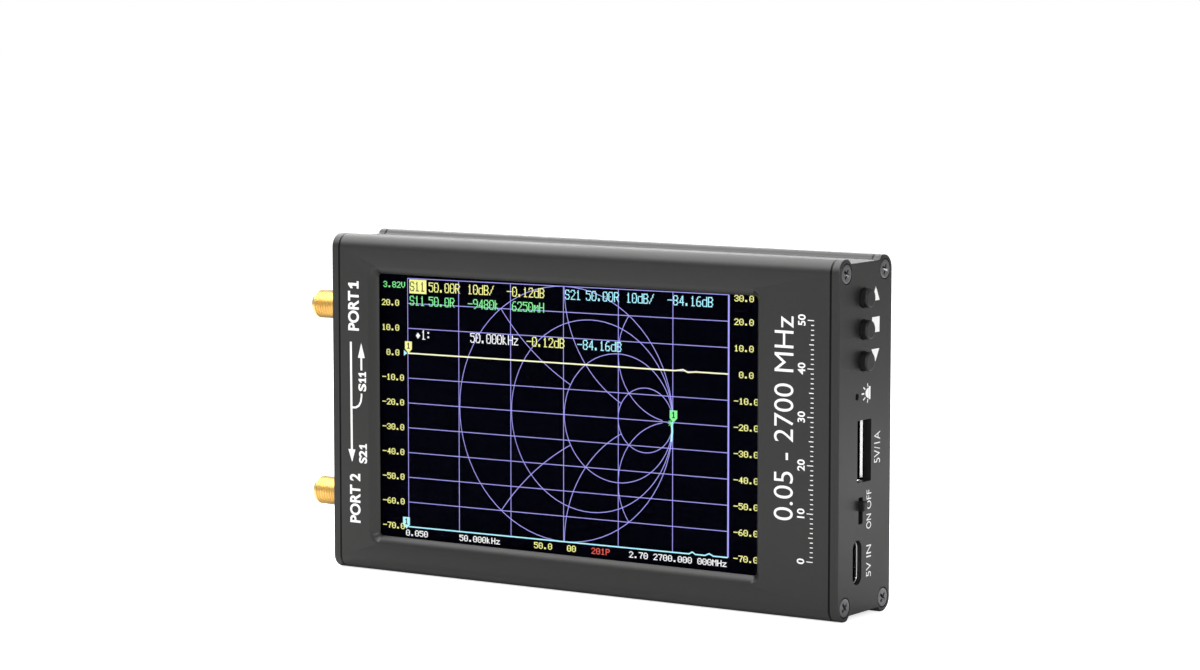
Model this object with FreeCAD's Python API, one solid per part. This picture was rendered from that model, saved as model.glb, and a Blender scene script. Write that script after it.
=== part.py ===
"""Handheld antenna analyzer: a two-part extruded case with end plates, a colour screen,
two coaxial ports on one end and buttons, switch and sockets on the other.

The case stands on its long edge. X runs from the port end to the control end, the screen
faces -Y, and Z is up from the lobes that the case stands on. All sizes are millimetres.
Every part is drawn with X = 0 at the middle of the case and Y = 0 at mid-depth, and moved
along X at the end, so that the origin is the bottom centre of the whole object.
"""
import FreeCAD, Part
import math
import os

Vec = FreeCAD.Vector

# How far a cutting shape runs past what it cuts
overrun = 1.0

# Screen and the case around it
screen_width = 98.0
screen_height = 58.6
border_port_side = 11.7
border_control_side = 20.3
border_above = 8.4
border_below = 8.0
window_radius = 0.8
bevel_width = 1.7

# Layers from the front face to the back, which add up to the depth of the case
front_wall = 2.0
gasket_thickness = 0.3
touch_thickness = 1.1
lcd_thickness = 1.2
backlight_thickness = 1.8
cushion_thickness = 3.3
board_thickness = 1.6
rear_part_space = 3.7
battery_thickness = 5.0
tape_thickness = 0.2
rear_wall = 1.8

# Extruded profile
side_wall = 1.6
corner_radius = 3.0
crest_width = 0.5
ridge_radius = 1.3
valley_radius = 0.9
channel_depth = 1.0
rail_width = 1.5
rail_depth = 1.5
tongue_thickness = 1.2
joint_behind_board = 0.7
fit_gap = 0.1

# End plates and their screws
plate_thickness = 2.0
plate_edge_radius = 0.3
opening_radius = 0.3
screw_inset = 3.0
screw_diameter = 2.5
screw_head_diameter = 4.4
screw_length = 8.0
screw_head_rim = 0.2
screw_clearance = 0.05
screw_hole_clearance = 0.15
screw_wall = 1.25
recess_span = 2.2
recess_width = 0.5
recess_depth = 0.8

# Display
touch_overlap_side = 3.0
touch_overlap_edge = 1.5
gasket_width = 1.2
cushion_length = 12.0
cushion_height = 8.0
ribbon_width = 30.0
ribbon_thickness = 0.2
ribbon_lead = 1.0
ribbon_return = 3.0
ribbon_socket_depth = 4.0
ribbon_socket_height = 1.2
ribbon_socket_wall = 1.0

# Circuit board
board_edge_gap = 0.2
board_end_gap = 0.25
notch_gap = 0.1

# Coaxial ports
port_from_top = 16.9
port_from_bottom = 15.6
port_reach = 11.0
thread_radius = 3.175
thread_pitch_radius = 2.95
port_hole_clearance = 0.15
tip_chamfer = 0.4
flange_side = 6.35
flange_thickness = 1.6
prong_length = 3.5
prong_width = 1.0
prong_height = 1.2
socket_bore_radius = 2.3
socket_bore_depth = 1.9
insulator_radius = 2.05
contact_radius = 0.635
contact_bore_radius = 0.47
contact_bore_depth = 3.0
tail_radius = 0.38
tail_length = 2.5
washer_radius = 4.5
washer_thickness = 0.5
nut_across_flats = 8.0
nut_thickness = 2.0
nut_edge = 0.3
thread_clearance = 0.05

# Buttons
button_from_top = 8.4
button_pitch = 6.55
button_behind_board_middle = -0.3
button_radius = 2.0
button_reach = 1.75
button_edge_radius = 0.45
button_hole_clearance = 0.15
button_flange_radius = 2.6
button_flange_thickness = 0.8
button_plate_gap = 0.1
button_travel = 0.35
plunger_radius = 1.0
plunger_clearance = 0.05
plunger_seat = 1.6
plunger_grip_gap = 0.02
plunger_depth = 2.0
key_side = 4.5
key_depth = 3.5
key_gap = 1.1
key_lug_width = 0.8
key_lug_depth = 2.0
lug_thickness = 0.3

# Indicator lamp
lamp_above_board = 2.1
lamp_hole_radius = 0.725
lamp_hole_clearance = 0.075
lamp_block_width = 2.4
lamp_block_depth = 2.0
lamp_block_height = 3.2
lamp_plate_gap = 1.2
lamp_recess = 0.35

# Slide switch
switch_above_usb_c = 10.7
switch_offset = -0.29
slot_length = 5.6
slot_width = 1.8
switch_travel = 2.0
knob_length = 2.0
knob_width = 1.5
knob_reach = 1.3
knob_edge_radius = 0.25
switch_case_length = 8.5
switch_case_width = 3.6
switch_case_depth = 3.6
switch_skin = 0.4
switch_plate_gap = 0.2
switch_base_thickness = 1.2
switch_block_length = 4.0
switch_block_depth = 1.4
switch_play = 0.1
switch_pin_width = 0.5
switch_pin_length = 3.0

# USB-A socket
usb_a_above_switch = 12.35
usb_a_offset = 0.26
usb_a_opening_length = 12.95
usb_a_opening_height = 5.75
usb_a_length = 13.1
usb_a_height = 5.7
usb_a_depth = 14.0
usb_a_skin = 0.3
usb_a_corner_radius = 0.5
usb_a_lip = 0.45
usb_a_lip_depth = 0.7
usb_a_plate_gap = 0.1
usb_a_tongue_length = 11.1
usb_a_tongue_height = 1.84
usb_a_tongue_recess = 1.5
usb_a_tongue_offset = 0.75
usb_a_back_block = 4.0
usb_a_contact_pitch = 2.3
usb_a_contact_width = 1.0
usb_wing_width = 1.6
usb_wing_length = 3.0

# USB-C socket
usb_c_from_bottom = 11.75
usb_c_length = 8.94
usb_c_height = 3.26
usb_c_depth = 7.35
usb_c_skin = 0.3
usb_c_recess = 1.0
usb_c_opening_clearance = 0.2
usb_c_tongue_length = 6.7
usb_c_tongue_height = 0.7
usb_c_tongue_recess = 0.7
usb_c_back_block = 1.4

# Battery and its lead
battery_from_port_plate = 15.0
battery_from_control_plate = 21.0
battery_from_bottom = 8.0
battery_from_top = 8.0
battery_edge_radius = 1.5
battery_plug_gap = 7.0
lead_radius = 0.5
lead_spacing = 2.4
lead_straight = 0.8
plug_length = 5.0
plug_height = 2.6
plug_width = 6.0
plug_grip = 3.5
plug_clearance = 0.05
plug_socket_wall = 0.6
plug_socket_depth = 5.5
lead_below_battery_top = 7.0

# Circuits on the board: length along X, height off the board, width along Z
processor_size = (14.0, 1.4, 14.0)
memory_size = (6.0, 1.0, 5.0)
charger_size = (5.0, 0.9, 5.0)
crystal_size = (3.2, 0.8, 2.5)
inductor_size = (6.0, 2.4, 6.0)
port_shield_size = (32.0, 3.0, 20.0)
source_shield_size = (36.0, 3.0, 24.0)
shield_corner_radius = 1.0
shield_from_board_end = 7.0
source_shield_gap = 6.0
package_edge = 0.2
circuits_from_board_end = 26.0
circuit_gap = 1.1

# Places that follow from the sizes above
case_length = border_port_side + screen_width + border_control_side
case_height = border_below + screen_height + border_above
display_stack = gasket_thickness + touch_thickness + lcd_thickness + backlight_thickness
case_depth = (
    front_wall + display_stack + cushion_thickness + board_thickness
    + rear_part_space + battery_thickness + tape_thickness + rear_wall
)
front_y = -case_depth / 2
rear_y = case_depth / 2
left_x = -case_length / 2
right_x = case_length / 2
plate_left_x = left_x + plate_thickness
plate_right_x = right_x - plate_thickness
screen_x = left_x + border_port_side + screen_width / 2
screen_z = border_below + screen_height / 2
touch_front = front_y + front_wall + gasket_thickness
lcd_front = touch_front + touch_thickness
backlight_front = lcd_front + lcd_thickness
backlight_rear = backlight_front + backlight_thickness
board_front = backlight_rear + cushion_thickness
board_rear = board_front + board_thickness
board_middle = (board_front + board_rear) / 2
split_y = board_rear + joint_behind_board
inner_bottom = channel_depth + side_wall
inner_top = case_height - inner_bottom
board_left = plate_left_x + flange_thickness
flange_rest = plate_right_x - button_plate_gap - button_flange_thickness
board_right = flange_rest - button_travel - board_end_gap
boss_radius = screw_diameter / 2 + screw_wall
screw_hole_radius = screw_diameter / 2 + screw_hole_clearance
port_y = board_front - tail_radius
button_y = board_middle + button_behind_board_middle
usb_c_y = board_front - usb_c_height / 2
usb_c_z = usb_c_from_bottom
switch_z = usb_c_z + switch_above_usb_c
switch_y = board_front + switch_offset
usb_a_z = switch_z + usb_a_above_switch
usb_a_y = board_middle + usb_a_offset
lamp_y = board_front - lamp_above_board
battery_left = plate_left_x + battery_from_port_plate
battery_right = plate_right_x - battery_from_control_plate
battery_rear = rear_y - rear_wall - tape_thickness
battery_top = case_height - battery_from_top
origin_shift = (port_reach - button_reach) / 2

port_heights = {"port_1": case_height - port_from_top, "port_2": port_from_bottom}
button_heights = {
    "up": case_height - button_from_top,
    "enter": case_height - button_from_top - button_pitch,
    "down": case_height - button_from_top - 2 * button_pitch,
}
lamp_z = (usb_a_z + usb_a_length / 2 + button_heights["down"] - key_side / 2) / 2


def box(x, y, z):
    """Box between the two values of each pair."""
    corner = Vec(min(x), min(y), min(z))
    return Part.makeBox(abs(x[1] - x[0]), abs(y[1] - y[0]), abs(z[1] - z[0]), corner)


def rod(radius, x, y, z):
    """Cylinder along X between the two values of x."""
    return Part.makeCylinder(radius, abs(x[1] - x[0]), Vec(min(x), y, z), Vec(1, 0, 0))


def turned(profile, y, z):
    """Solid of revolution about a line along X through (y, z); profile holds (x, radius)."""
    points = [Vec(x, y, z + radius) for x, radius in profile]
    face = Part.Face(Part.makePolygon(points + points[:1]))
    return face.revolve(Vec(0, y, z), Vec(1, 0, 0), 360)


def rounded_wire(width, height, radius, place):
    """Rounded rectangle about (0, 0), where place turns (u, v) into a point in space."""
    u = width / 2
    v = height / 2
    half = radius * (1 - math.sqrt(0.5))
    edges = []
    for turn in range(4):
        angle = math.radians(90 * turn)
        cos, sin = round(math.cos(angle)), round(math.sin(angle))
        a, b = (u, v) if turn % 2 == 0 else (v, u)

        def at(p, q, cos=cos, sin=sin):
            return place(p * cos - q * sin, p * sin + q * cos)

        if a - radius > 1e-6:
            edges.append(Part.LineSegment(at(radius - a, -b), at(a - radius, -b)).toShape())
        arc = Part.Arc(at(a - radius, -b), at(a - half, half - b), at(a, radius - b))
        edges.append(arc.toShape())
    return Part.Wire(Part.__sortEdges__([e for e in edges if e.Length > 1e-6]))


def end_panel(width, height, radius, x, y, z):
    """Rounded bar along X: width along Y and height along Z, about (y, z)."""
    wire = rounded_wire(width, height, radius, lambda u, v: Vec(min(x), y + u, z + v))
    return Part.Face(wire).extrude(Vec(abs(x[1] - x[0]), 0, 0))


def mirrored_z(shape):
    """Copy of a shape, mirrored about mid-height."""
    return shape.mirror(Vec(0, 0, case_height / 2), Vec(0, 0, 1))


def mirrored_y(shape):
    """Copy of a shape, mirrored about mid-depth."""
    return shape.mirror(Vec(0, 0, 0), Vec(0, 1, 0))


def joined(shapes):
    """One solid from several that touch or overlap."""
    return shapes[0].multiFuse(shapes[1:]).removeSplitter()


def edges_at_x(shape, x):
    """Edges that lie whole in the plane at x."""
    return [
        e for e in shape.Edges
        if abs(e.BoundBox.XMin - x) < 1e-6 and abs(e.BoundBox.XMax - x) < 1e-6
    ]


def edges_at_y(shape, y):
    """Edges that lie whole in the plane at y."""
    return [
        e for e in shape.Edges
        if abs(e.BoundBox.YMin - y) < 1e-6 and abs(e.BoundBox.YMax - y) < 1e-6
    ]


def edges_along_y(shape):
    """Straight edges that run along Y."""
    return [e for e in shape.Edges if e.BoundBox.YLength > 1e-6
            and e.BoundBox.XLength < 1e-6 and e.BoundBox.ZLength < 1e-6]


def edges_along_x(shape):
    """Straight edges that run along X."""
    return [e for e in shape.Edges if e.BoundBox.XLength > 1e-6
            and e.BoundBox.YLength < 1e-6 and e.BoundBox.ZLength < 1e-6]


def case_face():
    """Cross-section of the case: four round lobes with a shallow channel above and below."""
    top = case_height
    turn = math.acos(1 - channel_depth / (ridge_radius + valley_radius))
    ridge_y = front_y + corner_radius + crest_width
    ridge_z = top - ridge_radius
    valley_y = ridge_y + (ridge_radius + valley_radius) * math.sin(turn)
    valley_z = top - channel_depth + valley_radius
    diagonal = corner_radius * (1 - math.sqrt(0.5))
    ridge_end = Vec(0, ridge_y + ridge_radius * math.sin(turn),
                    ridge_z + ridge_radius * math.cos(turn))
    ridge_mid = Vec(0, ridge_y + ridge_radius * math.sin(turn / 2),
                    ridge_z + ridge_radius * math.cos(turn / 2))
    valley_mid = Vec(0, valley_y - valley_radius * math.sin(turn / 2),
                     valley_z - valley_radius * math.cos(turn / 2))
    side_low = Vec(0, front_y, top / 2)
    side_high = Vec(0, front_y, top - corner_radius)
    corner_mid = Vec(0, front_y + diagonal, top - diagonal)
    crest_start = Vec(0, front_y + corner_radius, top)
    crest_end = Vec(0, ridge_y, top)
    floor_start = Vec(0, valley_y, top - channel_depth)
    floor_end = Vec(0, 0, top - channel_depth)
    curves = [
        Part.LineSegment(side_low, side_high),
        Part.Arc(side_high, corner_mid, crest_start),
        Part.LineSegment(crest_start, crest_end),
        Part.Arc(crest_end, ridge_mid, ridge_end),
        Part.Arc(ridge_end, valley_mid, floor_start),
        Part.LineSegment(floor_start, floor_end),
    ]
    quarter = Part.Wire([c.toShape() for c in curves])
    upper = [quarter, mirrored_y(quarter)]
    wires = upper + [mirrored_z(w) for w in upper]
    edges = [e for w in wires for e in w.Edges]
    return Part.Face(Part.Wire(Part.__sortEdges__(edges)))


def case_bar(x0, x1):
    """Solid bar of the case's cross-section from x0 to x1."""
    face = case_face()
    face.translate(Vec(x0, 0, 0))
    return face.extrude(Vec(x1 - x0, 0, 0))


def screw_places():
    """Screw axes as (y, z), one in each lobe."""
    sides = (front_y + screw_inset, rear_y - screw_inset)
    levels = (screw_inset, case_height - screw_inset)
    return [(y, z) for y in sides for z in levels]


def cavity(x0, x1, y0, y1):
    """Room inside the case between y0 and y1, less the walls of the screw channels."""
    room = box((x0, x1), (y0, y1), (inner_bottom, inner_top))
    bosses = [rod(boss_radius, (x0, x1), y, z) for y, z in screw_places()]
    return room.cut(Part.makeCompound(bosses))


def screw_channels():
    """Round channels for the end plate screws, along the whole extrusion."""
    radius = screw_diameter / 2 + screw_clearance
    ends = (plate_left_x - overrun, plate_right_x + overrun)
    return Part.makeCompound([rod(radius, ends, y, z) for y, z in screw_places()])


def window_wire(depth, grow):
    """Outline of the screen window, grown on all sides, at a depth behind the front face."""
    def place(u, v):
        return Vec(screen_x + u, front_y + depth, screen_z + v)

    return rounded_wire(screen_width + 2 * grow, screen_height + 2 * grow,
                        window_radius + grow, place)


def window_cut():
    """Through window with a bevel that opens towards the front."""
    bevel = Part.makeLoft([window_wire(-overrun, bevel_width + overrun),
                           window_wire(bevel_width, 0)], True, True)
    hole = Part.Face(window_wire(0, 0)).extrude(Vec(0, front_wall + overrun, 0))
    return bevel.fuse(hole)


def board_rails():
    """Ledges inside the front shell that the board rests against."""
    span = (plate_left_x, plate_right_x)
    depth = (board_front - rail_depth, board_front)
    lower = box(span, depth, (inner_bottom - side_wall / 2, inner_bottom + rail_width))
    return [lower, mirrored_z(lower)]


def front_shell():
    """Front half of the case, with the screen window, board rails and screw channels."""
    bar = case_bar(plate_left_x, plate_right_x)
    half = bar.common(box((left_x, right_x), (front_y, split_y), (0, case_height)))
    room = cavity(left_x, right_x, front_y + front_wall, split_y + overrun)
    hollow = half.cut(room)
    railed = joined([hollow] + board_rails())
    return railed.cut(screw_channels()).cut(window_cut())


def clamp_tongues():
    """Tongues of the rear shell: they slide inside the front walls and hold the board down."""
    span = (plate_left_x, plate_right_x)
    inner = inner_bottom + fit_gap + tongue_thickness
    blade = box(span, (board_rear, split_y), (inner_bottom + fit_gap, inner))
    root = box(span, (split_y, split_y + tongue_thickness), (inner_bottom - side_wall / 2, inner))
    lower = blade.fuse(root)
    return [lower, mirrored_z(lower)]


def rear_shell():
    """Rear half of the case, with the clamp tongues and screw channels."""
    bar = case_bar(plate_left_x, plate_right_x)
    half = bar.common(box((left_x, right_x), (split_y, rear_y), (0, case_height)))
    room = cavity(left_x, right_x, split_y - overrun, rear_y - rear_wall)
    hollow = half.cut(room)
    return joined([hollow] + clamp_tongues()).cut(screw_channels())


def plate_screw(x, y, z, out):
    """Countersunk cross-recess screw; out is +1 or -1, the way the head faces."""
    head = screw_head_diameter / 2
    shank = screw_diameter / 2
    cone_end = screw_head_rim + head - shank
    profile = [(0, 0), (0, head), (screw_head_rim, head), (cone_end, shank),
               (screw_length, shank), (screw_length, 0)]
    screw = turned([(x - out * depth, radius) for depth, radius in profile], y, z)
    bars = []
    for span_y, span_z in ((recess_span, recess_width), (recess_width, recess_span)):
        bars.append(box((x - out * recess_depth, x + out * overrun),
                        (y - span_y / 2, y + span_y / 2), (z - span_z / 2, z + span_z / 2)))
    return screw.cut(joined(bars))


def screw_seat(x, y, z, out):
    """Countersunk hole through an end plate; the plate's outer face is at x."""
    head = screw_head_diameter / 2
    cone_end = screw_head_rim + head - screw_hole_radius
    beyond = plate_thickness + overrun
    profile = [(-overrun, 0), (-overrun, head), (screw_head_rim, head),
               (cone_end, screw_hole_radius), (beyond, screw_hole_radius), (beyond, 0)]
    return turned([(x - out * depth, radius) for depth, radius in profile], y, z)


def screw_set(x, out):
    """Four screws of one end plate."""
    return Part.makeCompound([plate_screw(x, y, z, out) for y, z in screw_places()])


def blank_plate(outer_x, inner_x):
    """End plate of the case's outline, with its outer edge rounded and its screw seats."""
    plate = case_bar(min(outer_x, inner_x), max(outer_x, inner_x))
    plate = plate.makeFillet(plate_edge_radius, edges_at_x(plate, outer_x))
    out = 1 if outer_x > inner_x else -1
    seats = [screw_seat(outer_x, y, z, out) for y, z in screw_places()]
    return plate.cut(Part.makeCompound(seats))


def port_end_plate():
    """End plate with the two holes of the coaxial ports."""
    through = (left_x - overrun, plate_left_x + overrun)
    radius = thread_radius + port_hole_clearance
    holes = [rod(radius, through, port_y, z) for z in port_heights.values()]
    return blank_plate(left_x, plate_left_x).cut(Part.makeCompound(holes))


def control_end_plate():
    """End plate with the openings for the buttons, lamp, sockets and slide switch."""
    through = (plate_right_x - overrun, right_x + overrun)
    button_hole = button_radius + button_hole_clearance
    cuts = [rod(button_hole, through, button_y, z) for z in button_heights.values()]
    cuts.append(rod(lamp_hole_radius, through, lamp_y, lamp_z))
    cuts.append(end_panel(usb_a_opening_height, usb_a_opening_length, opening_radius,
                          through, usb_a_y, usb_a_z))
    cuts.append(end_panel(slot_width, slot_length, opening_radius, through, switch_y, switch_z))
    usb_c_width = usb_c_height + 2 * usb_c_opening_clearance
    usb_c_span = usb_c_length + 2 * usb_c_opening_clearance
    cuts.append(end_panel(usb_c_width, usb_c_span, usb_c_width / 2, through, usb_c_y, usb_c_z))
    return blank_plate(right_x, plate_right_x).cut(Part.makeCompound(cuts))


def display_sheet(front, thickness, over_side, over_edge):
    """Flat layer of the display, larger than the screen by the two overlaps."""
    half_x = screen_width / 2 + over_side
    half_z = screen_height / 2 + over_edge
    return box((screen_x - half_x, screen_x + half_x), (front, front + thickness),
               (screen_z - half_z, screen_z + half_z))


def display_gasket():
    """Foam frame between the front wall and the touch panel."""
    front = front_y + front_wall
    frame = display_sheet(front, gasket_thickness, touch_overlap_side, touch_overlap_edge)
    side = touch_overlap_side - gasket_width
    edge = touch_overlap_edge - gasket_width
    return frame.cut(display_sheet(front, gasket_thickness, side, edge))


def touch_panel():
    """Glass touch panel behind the window."""
    return display_sheet(touch_front, touch_thickness, touch_overlap_side, touch_overlap_edge)


def lcd_cell():
    """Liquid crystal cell, the layer that shows the picture."""
    return display_sheet(lcd_front, lcd_thickness, touch_overlap_side / 2, touch_overlap_edge)


def backlight():
    """Backlight tray with rounded corners, behind the cell."""
    tray = display_sheet(backlight_front, backlight_thickness, touch_overlap_side,
                         touch_overlap_edge)
    return tray.makeFillet(window_radius, edges_along_y(tray))


def display_cushions():
    """Four foam blocks that hold the display off the board."""
    offset_x = screen_width / 2 - cushion_length
    offset_z = screen_height / 2 - cushion_height
    blocks = []
    for side in (-1, 1):
        for level in (-1, 1):
            x = screen_x + side * offset_x
            z = screen_z + level * offset_z
            blocks.append(box((x - cushion_length / 2, x + cushion_length / 2),
                              (backlight_rear, board_front),
                              (z - cushion_height / 2, z + cushion_height / 2)))
    return Part.makeCompound(blocks)


def ribbon_places():
    """Ends of the display ribbon: the tray's edge, its bend, and its level at the socket."""
    tray_x = screen_x - screen_width / 2 - touch_overlap_side
    start_y = (backlight_front + backlight_rear) / 2
    end_y = board_front - ribbon_socket_height / 2
    return tray_x, start_y, end_y


def display_ribbon():
    """Flat cable that leaves the backlight tray, turns back and enters its socket."""
    tray_x, start_y, end_y = ribbon_places()
    bend_x = tray_x - ribbon_lead
    socket_x = tray_x + ribbon_return
    radius = (end_y - start_y) / 2
    half = ribbon_thickness / 2
    wires = []
    for r in (radius - half, radius + half):
        middle_y = (start_y + end_y) / 2
        top = middle_y - r
        bottom = middle_y + r
        arc = Part.Arc(Vec(bend_x, top, 0), Vec(bend_x - r, middle_y, 0), Vec(bend_x, bottom, 0))
        wires.append((top, bottom, arc.toShape()))
    (in_top, in_bottom, inner), (out_top, out_bottom, outer) = wires
    corners = [
        (Vec(tray_x, in_top, 0), Vec(bend_x, in_top, 0)),
        (Vec(tray_x, out_top, 0), Vec(bend_x, out_top, 0)),
        (Vec(tray_x, in_top, 0), Vec(tray_x, out_top, 0)),
        (Vec(bend_x, in_bottom, 0), Vec(socket_x, in_bottom, 0)),
        (Vec(bend_x, out_bottom, 0), Vec(socket_x, out_bottom, 0)),
        (Vec(socket_x, in_bottom, 0), Vec(socket_x, out_bottom, 0)),
    ]
    edges = [Part.LineSegment(a, b).toShape() for a, b in corners] + [inner, outer]
    face = Part.Face(Part.Wire(Part.__sortEdges__(edges)))
    face.translate(Vec(0, 0, screen_z - ribbon_width / 2))
    return face.extrude(Vec(0, 0, ribbon_width))


def ribbon_socket():
    """Low socket on the board that the ribbon plugs into."""
    tray_x, _, _ = ribbon_places()
    x0 = tray_x + ribbon_return
    half = ribbon_width / 2 + ribbon_socket_wall
    return box((x0, x0 + ribbon_socket_depth), (board_front - ribbon_socket_height, board_front),
               (screen_z - half, screen_z + half))


def edge_notch(depth_x, z, length):
    """Cut-out in the board's control edge round a part of this length along Z."""
    half = length / 2 + notch_gap
    return box((depth_x - notch_gap, right_x), (board_front, board_rear), (z - half, z + half))


def main_board():
    """Circuit board, notched where buttons, switch and USB-A socket sit in its thickness."""
    low = inner_bottom + board_edge_gap
    board = box((board_left, board_right), (board_front, board_rear), (low, case_height - low))
    cuts = [edge_notch(key_front() - key_depth, z, key_side) for z in button_heights.values()]
    _, switch_back, _ = switch_planes()
    cuts.append(edge_notch(switch_back, switch_z, switch_case_length))
    _, usb_back = usb_a_planes()
    cuts.append(edge_notch(usb_back, usb_a_z, usb_a_length))
    return board.cut(Part.makeCompound(cuts))


def package(size, x, z):
    """Chip on the front of the board, with the edges of its top face chamfered."""
    length, height, width = size
    top = board_front - height
    block = box((x - length / 2, x + length / 2), (top, board_front),
                (z - width / 2, z + width / 2))
    return block.makeChamfer(package_edge, edges_at_y(block, top))


def shield(size, x, z):
    """Pressed shield can on the rear of the board."""
    length, height, width = size
    can = box((x - length / 2, x + length / 2), (board_rear, board_rear + height),
              (z - width / 2, z + width / 2))
    return can.makeFillet(shield_corner_radius, edges_along_y(can))


def shield_places():
    """Centres of the three shields as (x, z): one for each port and one for the source."""
    port_x = board_left + shield_from_board_end + port_shield_size[0] / 2
    source_x = port_x + (port_shield_size[0] + source_shield_size[0]) / 2 + source_shield_gap
    return {
        "port_1_shield": (port_shield_size, port_x, port_heights["port_1"]),
        "port_2_shield": (port_shield_size, port_x, port_heights["port_2"]),
        "source_shield": (source_shield_size, source_x, screen_z),
    }


def front_circuits():
    """Chips on the front of the board, in a row that ends at its control end."""
    x = board_right - circuits_from_board_end
    sizes = {"boost_inductor": inductor_size, "clock_crystal": crystal_size,
             "charger_chip": charger_size, "memory_chip": memory_size, "processor": processor_size}
    shapes = {}
    for name, size in sizes.items():
        shapes[name] = package(size, x - size[0] / 2, screen_z)
        x -= size[0] + circuit_gap
    return shapes


def port_body(z):
    """Edge-launch jack: threaded barrel, square flange and prongs that straddle the board.

    Free thread is a plain cylinder of its outside radius, thread under the nut of its pitch radius.
    """
    tip = left_x - port_reach
    shank_end = left_x - washer_thickness - nut_thickness
    bore_end = plate_left_x + flange_thickness
    outline = [
        (plate_left_x, 0), (plate_left_x, thread_pitch_radius), (shank_end, thread_pitch_radius),
        (shank_end, thread_radius), (tip + tip_chamfer, thread_radius),
        (tip, thread_radius - tip_chamfer), (tip, 0),
    ]
    barrel = turned(outline, port_y, z)
    half = flange_side / 2
    flange = box((plate_left_x, bore_end), (port_y - half, port_y + half), (z - half, z + half))
    pieces = [barrel, flange]
    for side in (-1, 1):
        z_out = z + side * half
        for face, out in ((board_front, -1), (board_rear, 1)):
            pieces.append(box((bore_end - flange_thickness / 2, bore_end + prong_length),
                              (face, face + out * prong_height),
                              (z_out, z_out - side * prong_width)))
    bores = [rod(socket_bore_radius, (tip, tip + socket_bore_depth), port_y, z),
             rod(insulator_radius, (tip, bore_end), port_y, z)]
    return joined(pieces).cut(Part.makeCompound(bores))


def port_insulator(z):
    """Insulator inside the jack, bored for the centre contact."""
    face = left_x - port_reach + socket_bore_depth
    rear = plate_left_x + flange_thickness
    plug = rod(insulator_radius, (face, rear), port_y, z)
    return plug.cut(rod(contact_radius, (face, rear), port_y, z))


def port_contact(z):
    """Centre contact: socket end at the port's mouth, tail soldered on the board."""
    face = left_x - port_reach + socket_bore_depth
    rear = plate_left_x + flange_thickness
    outline = [
        (face, contact_bore_radius), (face, contact_radius), (rear, contact_radius),
        (rear, tail_radius), (rear + tail_length, tail_radius), (rear + tail_length, 0),
        (face + contact_bore_depth, 0), (face + contact_bore_depth, contact_bore_radius),
    ]
    return turned(outline, port_y, z)


def port_washer(z):
    """Washer under the port's nut."""
    inner = thread_radius + thread_clearance
    ends = (left_x - washer_thickness, left_x)
    return rod(washer_radius, ends, port_y, z).cut(rod(inner, ends, port_y, z))


def port_nut(z):
    """Thin hexagon nut with its corners turned off on the outer side."""
    inner_x = left_x - washer_thickness
    outer_x = inner_x - nut_thickness
    reach = nut_across_flats / 2 / math.cos(math.radians(30))
    corners = []
    for k in range(7):
        angle = math.radians(60 * k)
        corners.append(Vec(outer_x, port_y + reach * math.cos(angle), z + reach * math.sin(angle)))
    hexagon = Part.Face(Part.makePolygon(corners)).extrude(Vec(nut_thickness, 0, 0))
    rim = nut_across_flats / 2
    dome = turned([(outer_x, 0), (outer_x, rim), (outer_x + nut_edge, reach),
                   (inner_x, reach), (inner_x, 0)], port_y, z)
    hole = rod(thread_pitch_radius + thread_clearance, (outer_x, inner_x), port_y, z)
    return hexagon.common(dome).cut(hole)


def button_cap(z):
    """Round cap with a flange behind the plate and a socket for the switch plunger."""
    face = right_x + button_reach
    flange_front = plate_right_x - button_plate_gap
    flange_rear = flange_front - button_flange_thickness
    stem = rod(button_radius, (flange_rear, face), button_y, z)
    stem = stem.makeFillet(button_edge_radius, edges_at_x(stem, face))
    flange = rod(button_flange_radius, (flange_rear, flange_front), button_y, z)
    socket = rod(plunger_radius + plunger_grip_gap, (flange_rear, flange_rear + plunger_seat),
                 button_y, z)
    return joined([stem, flange]).cut(socket)


def key_front():
    """X of the front face of the key switches."""
    return flange_rest - key_gap


def key_plunger(z):
    """Plunger of the key switch, pressed into the cap's socket."""
    seat = key_front() + key_gap + plunger_seat
    return rod(plunger_radius, (key_front() - plunger_depth, seat), button_y, z)


def key_switch(z):
    """Key switch in a notch of the board, with lugs on the board's front face."""
    front = key_front()
    back = front - key_depth
    half = key_side / 2
    housing = box((back, front), (button_y - half, button_y + half), (z - half, z + half))
    housing = housing.makeChamfer(package_edge, edges_along_x(housing))
    middle = (front + back) / 2
    reach = half + key_lug_width
    lug = box((middle - key_lug_depth / 2, middle + key_lug_depth / 2),
              (board_front - lug_thickness, board_front), (z - reach, z + reach))
    bore_depth = plunger_depth + button_travel + plunger_clearance
    bore = rod(plunger_radius + plunger_clearance, (front - bore_depth, front), button_y, z)
    return joined([housing, lug]).cut(bore)


def status_lamp():
    """Indicator lamp: a block on the board and a domed lens in the plate's hole."""
    block_front = plate_right_x - lamp_plate_gap
    block_back = block_front - lamp_block_depth
    half = lamp_block_width / 2
    block = box((block_back, block_front), (board_front - lamp_block_height, board_front),
                (lamp_z - half, lamp_z + half))
    radius = lamp_hole_radius - lamp_hole_clearance
    dome_x = right_x - lamp_recess - radius
    lens = rod(radius, (block_front - lamp_block_depth / 2, dome_x), lamp_y, lamp_z)
    dome = Part.makeSphere(radius, Vec(dome_x, lamp_y, lamp_z))
    return joined([block, lens, dome])


def switch_planes():
    """X of the slide switch's front, the back of its skin and the front of its base."""
    front = plate_right_x - switch_plate_gap
    back = front - switch_case_depth
    return front, back, back + switch_base_thickness


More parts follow.
